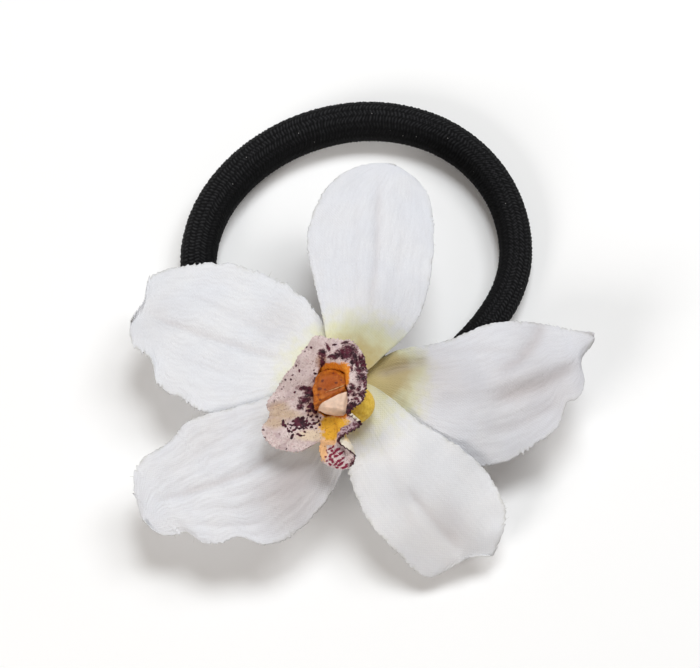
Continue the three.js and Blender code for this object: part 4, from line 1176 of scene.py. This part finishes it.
def lip_rings(station):
    """The lip's floor, belly, mouth, lobe and free edge at fractional places along its edge."""
    edge = np.array(LIP_EDGE, float)
    bearings = np.append(edge[:, 0], edge[0, 0] - 360)
    bearing = np.radians(np.interp(station, np.arange(len(bearings)), bearings))
    cos, sin = np.cos(bearing), np.sin(bearing)

    def oval(middle, across, along, height):
        return stacked(middle[0] + across * cos, middle[1] + along * sin, height)

    height_share = 0.5 + LIP_MOUTH_SLANT * cos + LIP_MOUTH_SLANT * sin
    mouth_height = LIP_MOUTH["low"] + (LIP_MOUTH["high"] - LIP_MOUTH["low"]) * height_share
    floor = oval(LIP_FOOT, LIP_FLOOR_RADIUS, LIP_FLOOR_RADIUS, 0)
    belly = oval(LIP_BELLY["middle"], LIP_BELLY["across"], LIP_BELLY["along"], LIP_BELLY["height"])
    mouth = oval(LIP_MOUTH["middle"], LIP_MOUTH["across"], LIP_MOUTH["along"], mouth_height)
    free = catmull_rom(edge[:, 1:], station, closed=True)
    lobe = (mouth + free) / 2 + (0, 0, LIP_LOBE_ARCH)
    return np.stack([floor, belly, mouth, lobe, free])


def front_view(points):
    """Where points are seen from the front, right and up of the paint's point."""
    tilt = math.radians(CAMERA_ELEVATION)
    ahead = np.array([0, math.cos(tilt), -math.sin(tilt)])
    up = np.array([0, math.sin(tilt), math.cos(tilt)])
    start = FLOWER_MIDDLE + (0, 0, LIP_HEIGHT) + PAINT_POINT - EYE
    offset = points - EYE
    scale = (start @ ahead) / (offset @ ahead)
    return np.stack([offset[:, 0] * scale - start[0], (offset @ up) * scale - start @ up], -1)


def painted(seen, areas):
    """1 in the middle of any of the areas, a half at its outline and 0 further out."""
    field = np.zeros(len(seen))
    for right, up, half_width, half_height, *turn in areas:
        along, across = turned(seen[:, 0] - right, seen[:, 1] - up, -math.radians(sum(turn)))
        away = np.hypot(along / half_width, across / half_height)
        field = np.maximum(field, np.clip(1.5 - away, 0, 1))
    return field


def lip_relief(grid, station, ring):
    """How far the lip's surface stands out: lumps, rim waves, throat keels, the fold between two lobes, and
    pouches that make room for the column's foot and the anther cap."""
    ring = ring[:, None]
    lumps = LIP_LUMPS * rough_field(grid, 3) + LIP_GRAIN * rough_field(grid, 0.7)
    lumps = smoothstep(ring, 1.5, 2.5) * lumps
    waves = RIM_WAVES * smoothstep(ring, 2.6, 4) ** 2 * rough_field(station[:, None], 0.9)
    fold = -LOBE_FOLD_DEPTH * smoothstep(ring, 2.2, 3.2) * falloff(station - LOBE_FOLD, LOBE_FOLD_WIDTH)
    inside = smoothstep(ring, 0.9, 1.3) * (1 - smoothstep(ring, 1.7, 2.1))
    keels = KEEL_HEIGHT * inside * np.cos(2 * math.pi * station * KEELS_A_STATION)
    relief = lumps + waves + fold + keels
    half_way = len(LIP_EDGE) / 2
    for middle, middle_ring, depth in LIP_POUCHES:
        round_wall = (station - middle + half_way) % len(LIP_EDGE) - half_way
        relief = relief - depth * np.exp(-round_wall ** 2 - ((ring - middle_ring) / POUCH_HALF_HEIGHT) ** 2)
    return relief


def between(values, ends, soft=0.3):
    """1 between two ends, fading to 0 outside them."""
    return smoothstep(values, ends[0] - soft, ends[0]) * (1 - smoothstep(values, ends[1], ends[1] + soft))


def lip_paint(points, ring, station):
    """Strength of each colour of the lip's paint at its points."""
    seen = front_view(points)
    paint = {name: painted(seen, areas) for name, areas in LIP_PAINT.items()}
    for name in ("patches", "spots", "yellow", "shelf_edge_shade"):
        paint[name] *= smoothstep(ring, 1.75, 2.05)
    rim = smoothstep(ring, 3.7, 3.95) * between(station, STAINED_RIM)
    paint["patches"] = np.maximum(paint["patches"], 0.85 * rim)
    paint["throat"] = np.maximum(paint["throat"], 1 - smoothstep(ring, 1.9, 2.15))
    paint["fringe"] = smoothstep(ring, 3.1, 3.5) * between(station, FRINGE)
    paint["rim"] = smoothstep(ring, 2, 4)
    return paint


def make_lip(inside, outside):
    """The lip's sheet from its floor to its free edge, closed at the floor."""
    station = np.arange(LIP_STATIONS) / LIP_STATIONS * len(LIP_EDGE)
    ring = np.concatenate([k + np.arange(rows) / rows for k, rows in enumerate(LIP_ROWS)])
    ring = np.append(ring, len(LIP_ROWS))
    grid = catmull_rom(lip_rings(station), ring, closed=False)
    around = np.roll(grid, -1, axis=1) - np.roll(grid, 1, axis=1)
    upward = unit(np.cross(around, np.gradient(grid, axis=0)))
    grid = grid + upward * lip_relief(grid, station, ring)[..., None]
    nap = LIP_NAP * smoothstep(ring, 3.4, 4)[:, None] * rough_field(station[:, None], 0.14)
    grid = grid + unit(np.gradient(grid, axis=0)) * nap[..., None]
    points = grid.reshape(-1, 3) + FLOWER_MIDDLE + (0, 0, LIP_HEIGHT)
    points = np.concatenate([points, [points[:LIP_STATIONS].mean(0)]])
    ring_of_point = np.append(np.repeat(ring, LIP_STATIONS), 0)
    station_of_point = np.append(np.tile(station, len(ring)), 0)
    marks = lip_paint(points, ring_of_point, station_of_point)
    faces = [tuple(face) for face in grid_faces(len(ring), LIP_STATIONS, wrap_columns=True)[:, ::-1]]
    floor_middle = len(points) - 1
    faces += [(floor_middle, (k + 1) % LIP_STATIONS, k) for k in range(LIP_STATIONS)]
    piece = mesh_piece("lip_moulding", points, faces, inside, marks)
    solidify(piece, LIP_THICKNESS, outside)
    dress(piece, "flower", "lip")


def column_rings(profile, slope_at, ripple, sideways=0):
    """Flattened sections with lengthwise ridges, along the column's leaning axis: half depths and heights.
    slope_at gives the sideways slope of the section at a height."""
    rows, sides = COLUMN_GRID
    depth, height = resample(profile, np.linspace(0, 1, rows)).T
    angle = turns(sides)
    ridged = depth[:, None] * (1 + ripple * np.cos(COLUMN_RIDGES * angle))
    cos, sin = np.cos(angle), np.sin(angle)
    widening = COLUMN_FULLNESS * COLUMN_HALF_WIDTH / COLUMN_HALF_DEPTH
    x = ridged * np.sign(cos) * np.abs(cos) ** COLUMN_ROUNDING * widening
    y = ridged * np.sign(sin) * np.abs(sin) ** COLUMN_ROUNDING
    z = height[:, None] - slope_at(height)[:, None] * x
    rings = np.stack([x, y, z], -1)
    rings[..., :2] *= 1 + COLUMN_LUMPS * rough_field(rings, 2)[..., None]
    lean_y, lean_z = turned(rings[..., 1], rings[..., 2], math.radians(COLUMN_TILT))
    base = FLOWER_MIDDLE + (
        LIP_MOUTH["middle"][0] + sideways, -COLUMN_FOOT_FORWARD, LIP_HEIGHT + COLUMN_FOOT_HEIGHT)
    return np.stack([rings[..., 0], lean_y, lean_z], -1) + base


def make_column(column_skin, anther_skin):
    """The column and, on its slanted end, the anther cap."""
    start = COLUMN_LENGTH + CLEARANCE
    body = [
        (COLUMN_FOOT_DEPTH, COLUMN_FOOT), (COLUMN_HALF_DEPTH * 0.95, COLUMN_LENGTH * 0.25),
        (COLUMN_HALF_DEPTH, COLUMN_LENGTH * 0.7), (COLUMN_HALF_DEPTH * 0.9, COLUMN_LENGTH)]

    def body_slope(height):
        return COLUMN_END_SLANT * height / COLUMN_LENGTH

    def cap_slope(height):
        return COLUMN_END_SLANT * (1 - (height - start) / ANTHER_LENGTH)

    rings = column_rings(body, body_slope, COLUMN_RIPPLE)
    points, faces = closed_tube(rings, flip=True)
    seen = front_view(points)
    marks = {name: painted(seen, areas) for name, areas in COLUMN_PAINT.items()}
    piece = mesh_piece("column_moulding", points, faces, column_skin, marks)
    dress(piece, "flower", "column")
    cap = [
        (ANTHER_HALF_DEPTH, start), (ANTHER_HALF_DEPTH * 0.9, start + ANTHER_LENGTH * 0.5),
        (ANTHER_HALF_DEPTH * 0.8, start + ANTHER_LENGTH + ANTHER_POINT)]
    rings = column_rings(cap, cap_slope, ANTHER_RIPPLE, ANTHER_SIDEWAYS)
    piece = mesh_piece("anther_moulding", *closed_tube(rings, flip=True), anther_skin)
    dress(piece, "flower", "anther_cap")


# Scene

def make_floor():
    """A white table, a little brighter to the eye than it is, so that it shows white round the shadows."""
    skin = Skin("white_table", (0.90, 0.895, 0.89))
    camera_ray, glossy_ray = (skin.node("LightPath", {}, ray) for ray in ("Is Camera Ray", "Is Glossy Ray"))
    strength = skin.times(skin.math("MAXIMUM", camera_ray, glossy_ray), TABLE_GLOW)
    glow = skin.node("Emission", {"Color": opaque((1.0, 0.96, 0.92)), "Strength": strength})
    skin.surface(skin.node("AddShader", {0: skin.shader.outputs[0], 1: glow}))
    square = ((-1, -1), (1, -1), (1, 1), (-1, 1))
    corners = [(x * TABLE_HALF, y * TABLE_HALF, TABLE_LEVEL) for x, y in square]
    material = skin.finish(0.9, 0.1)
    mesh_piece("table", corners, [(0, 1, 2, 3)], material)


def place_object(name, data, place, rotation):
    """A lamp or camera put in the scene."""
    placed = bpy.data.objects.new(name, data)
    placed.location = place
    placed.rotation_euler = rotation
    bpy.context.scene.collection.objects.link(placed)
    return placed


def make_lights():
    """A dim warm sky and round soft lamps that face the middle of the part."""
    world = bpy.data.worlds.new("studio")
    world.use_nodes = True
    sky = world.node_tree.nodes["Background"]
    sky.inputs["Color"].default_value = opaque((1.0, 0.89, 0.78))
    sky.inputs["Strength"].default_value = SKY_STRENGTH
    bpy.context.scene.world = world
    for name, (place, power, tint) in LAMPS.items():
        light = bpy.data.lights.new(name, "AREA")
        light.shape = "DISK"
        light.size = LAMP_SIZE
        light.energy = power
        light.color = tint
        place_object(name, light, place, (-Vector(place)).to_track_quat("-Z", "Y").to_euler())


def make_camera():
    """The camera at the photo's viewpoint."""
    camera = bpy.data.cameras.new("photo_view")
    camera.lens = CAMERA_LENS
    camera.sensor_width = CAMERA_SENSOR
    tilt = math.radians(90 - CAMERA_ELEVATION)
    bpy.context.scene.camera = place_object("photo_view", camera, EYE * MM, (tilt, 0, 0))


bpy.context.scene.view_settings.view_transform = "Standard"
make_camera()
make_lights()
make_floor()
make_cover(cover_material())
make_strands(plain_material("natural_latex", (0.62, 0.50, 0.32), 0.55))
make_ferrule(plain_material("plated_steel", (0.5, 0.5, 0.52), 0.35, metallic=1.0, grain=4, depth=0.02))
make_keeper(plain_material("woven_tape", (0.015, 0.015, 0.017), 0.85, mottle=0.4, grain=5))
make_felt(plain_material("black_felt", (0.02, 0.02, 0.023), 0.95, mottle=0.5, grain=6, depth=0.12))
make_glue(plain_material("hot_melt", (0.78, 0.75, 0.66), 0.35, mottle=0.04))
make_calyx(plain_material("pale_green_plastic", (0.48, 0.55, 0.24), 0.45))
cloth = cloth_material()
thread = plain_material("loose_thread", (0.62, 0.61, 0.56), 0.8)
for tepal in TEPALS:
    make_tepal(tepal, cloth, thread)
make_lip(lip_inside_material(), lip_outside_material())
make_column(
    column_material(),
    plain_material("cream_moulding", (0.74, 0.51, 0.37), 0.5, mottle=0.14, grain=0.9, depth=0.1))
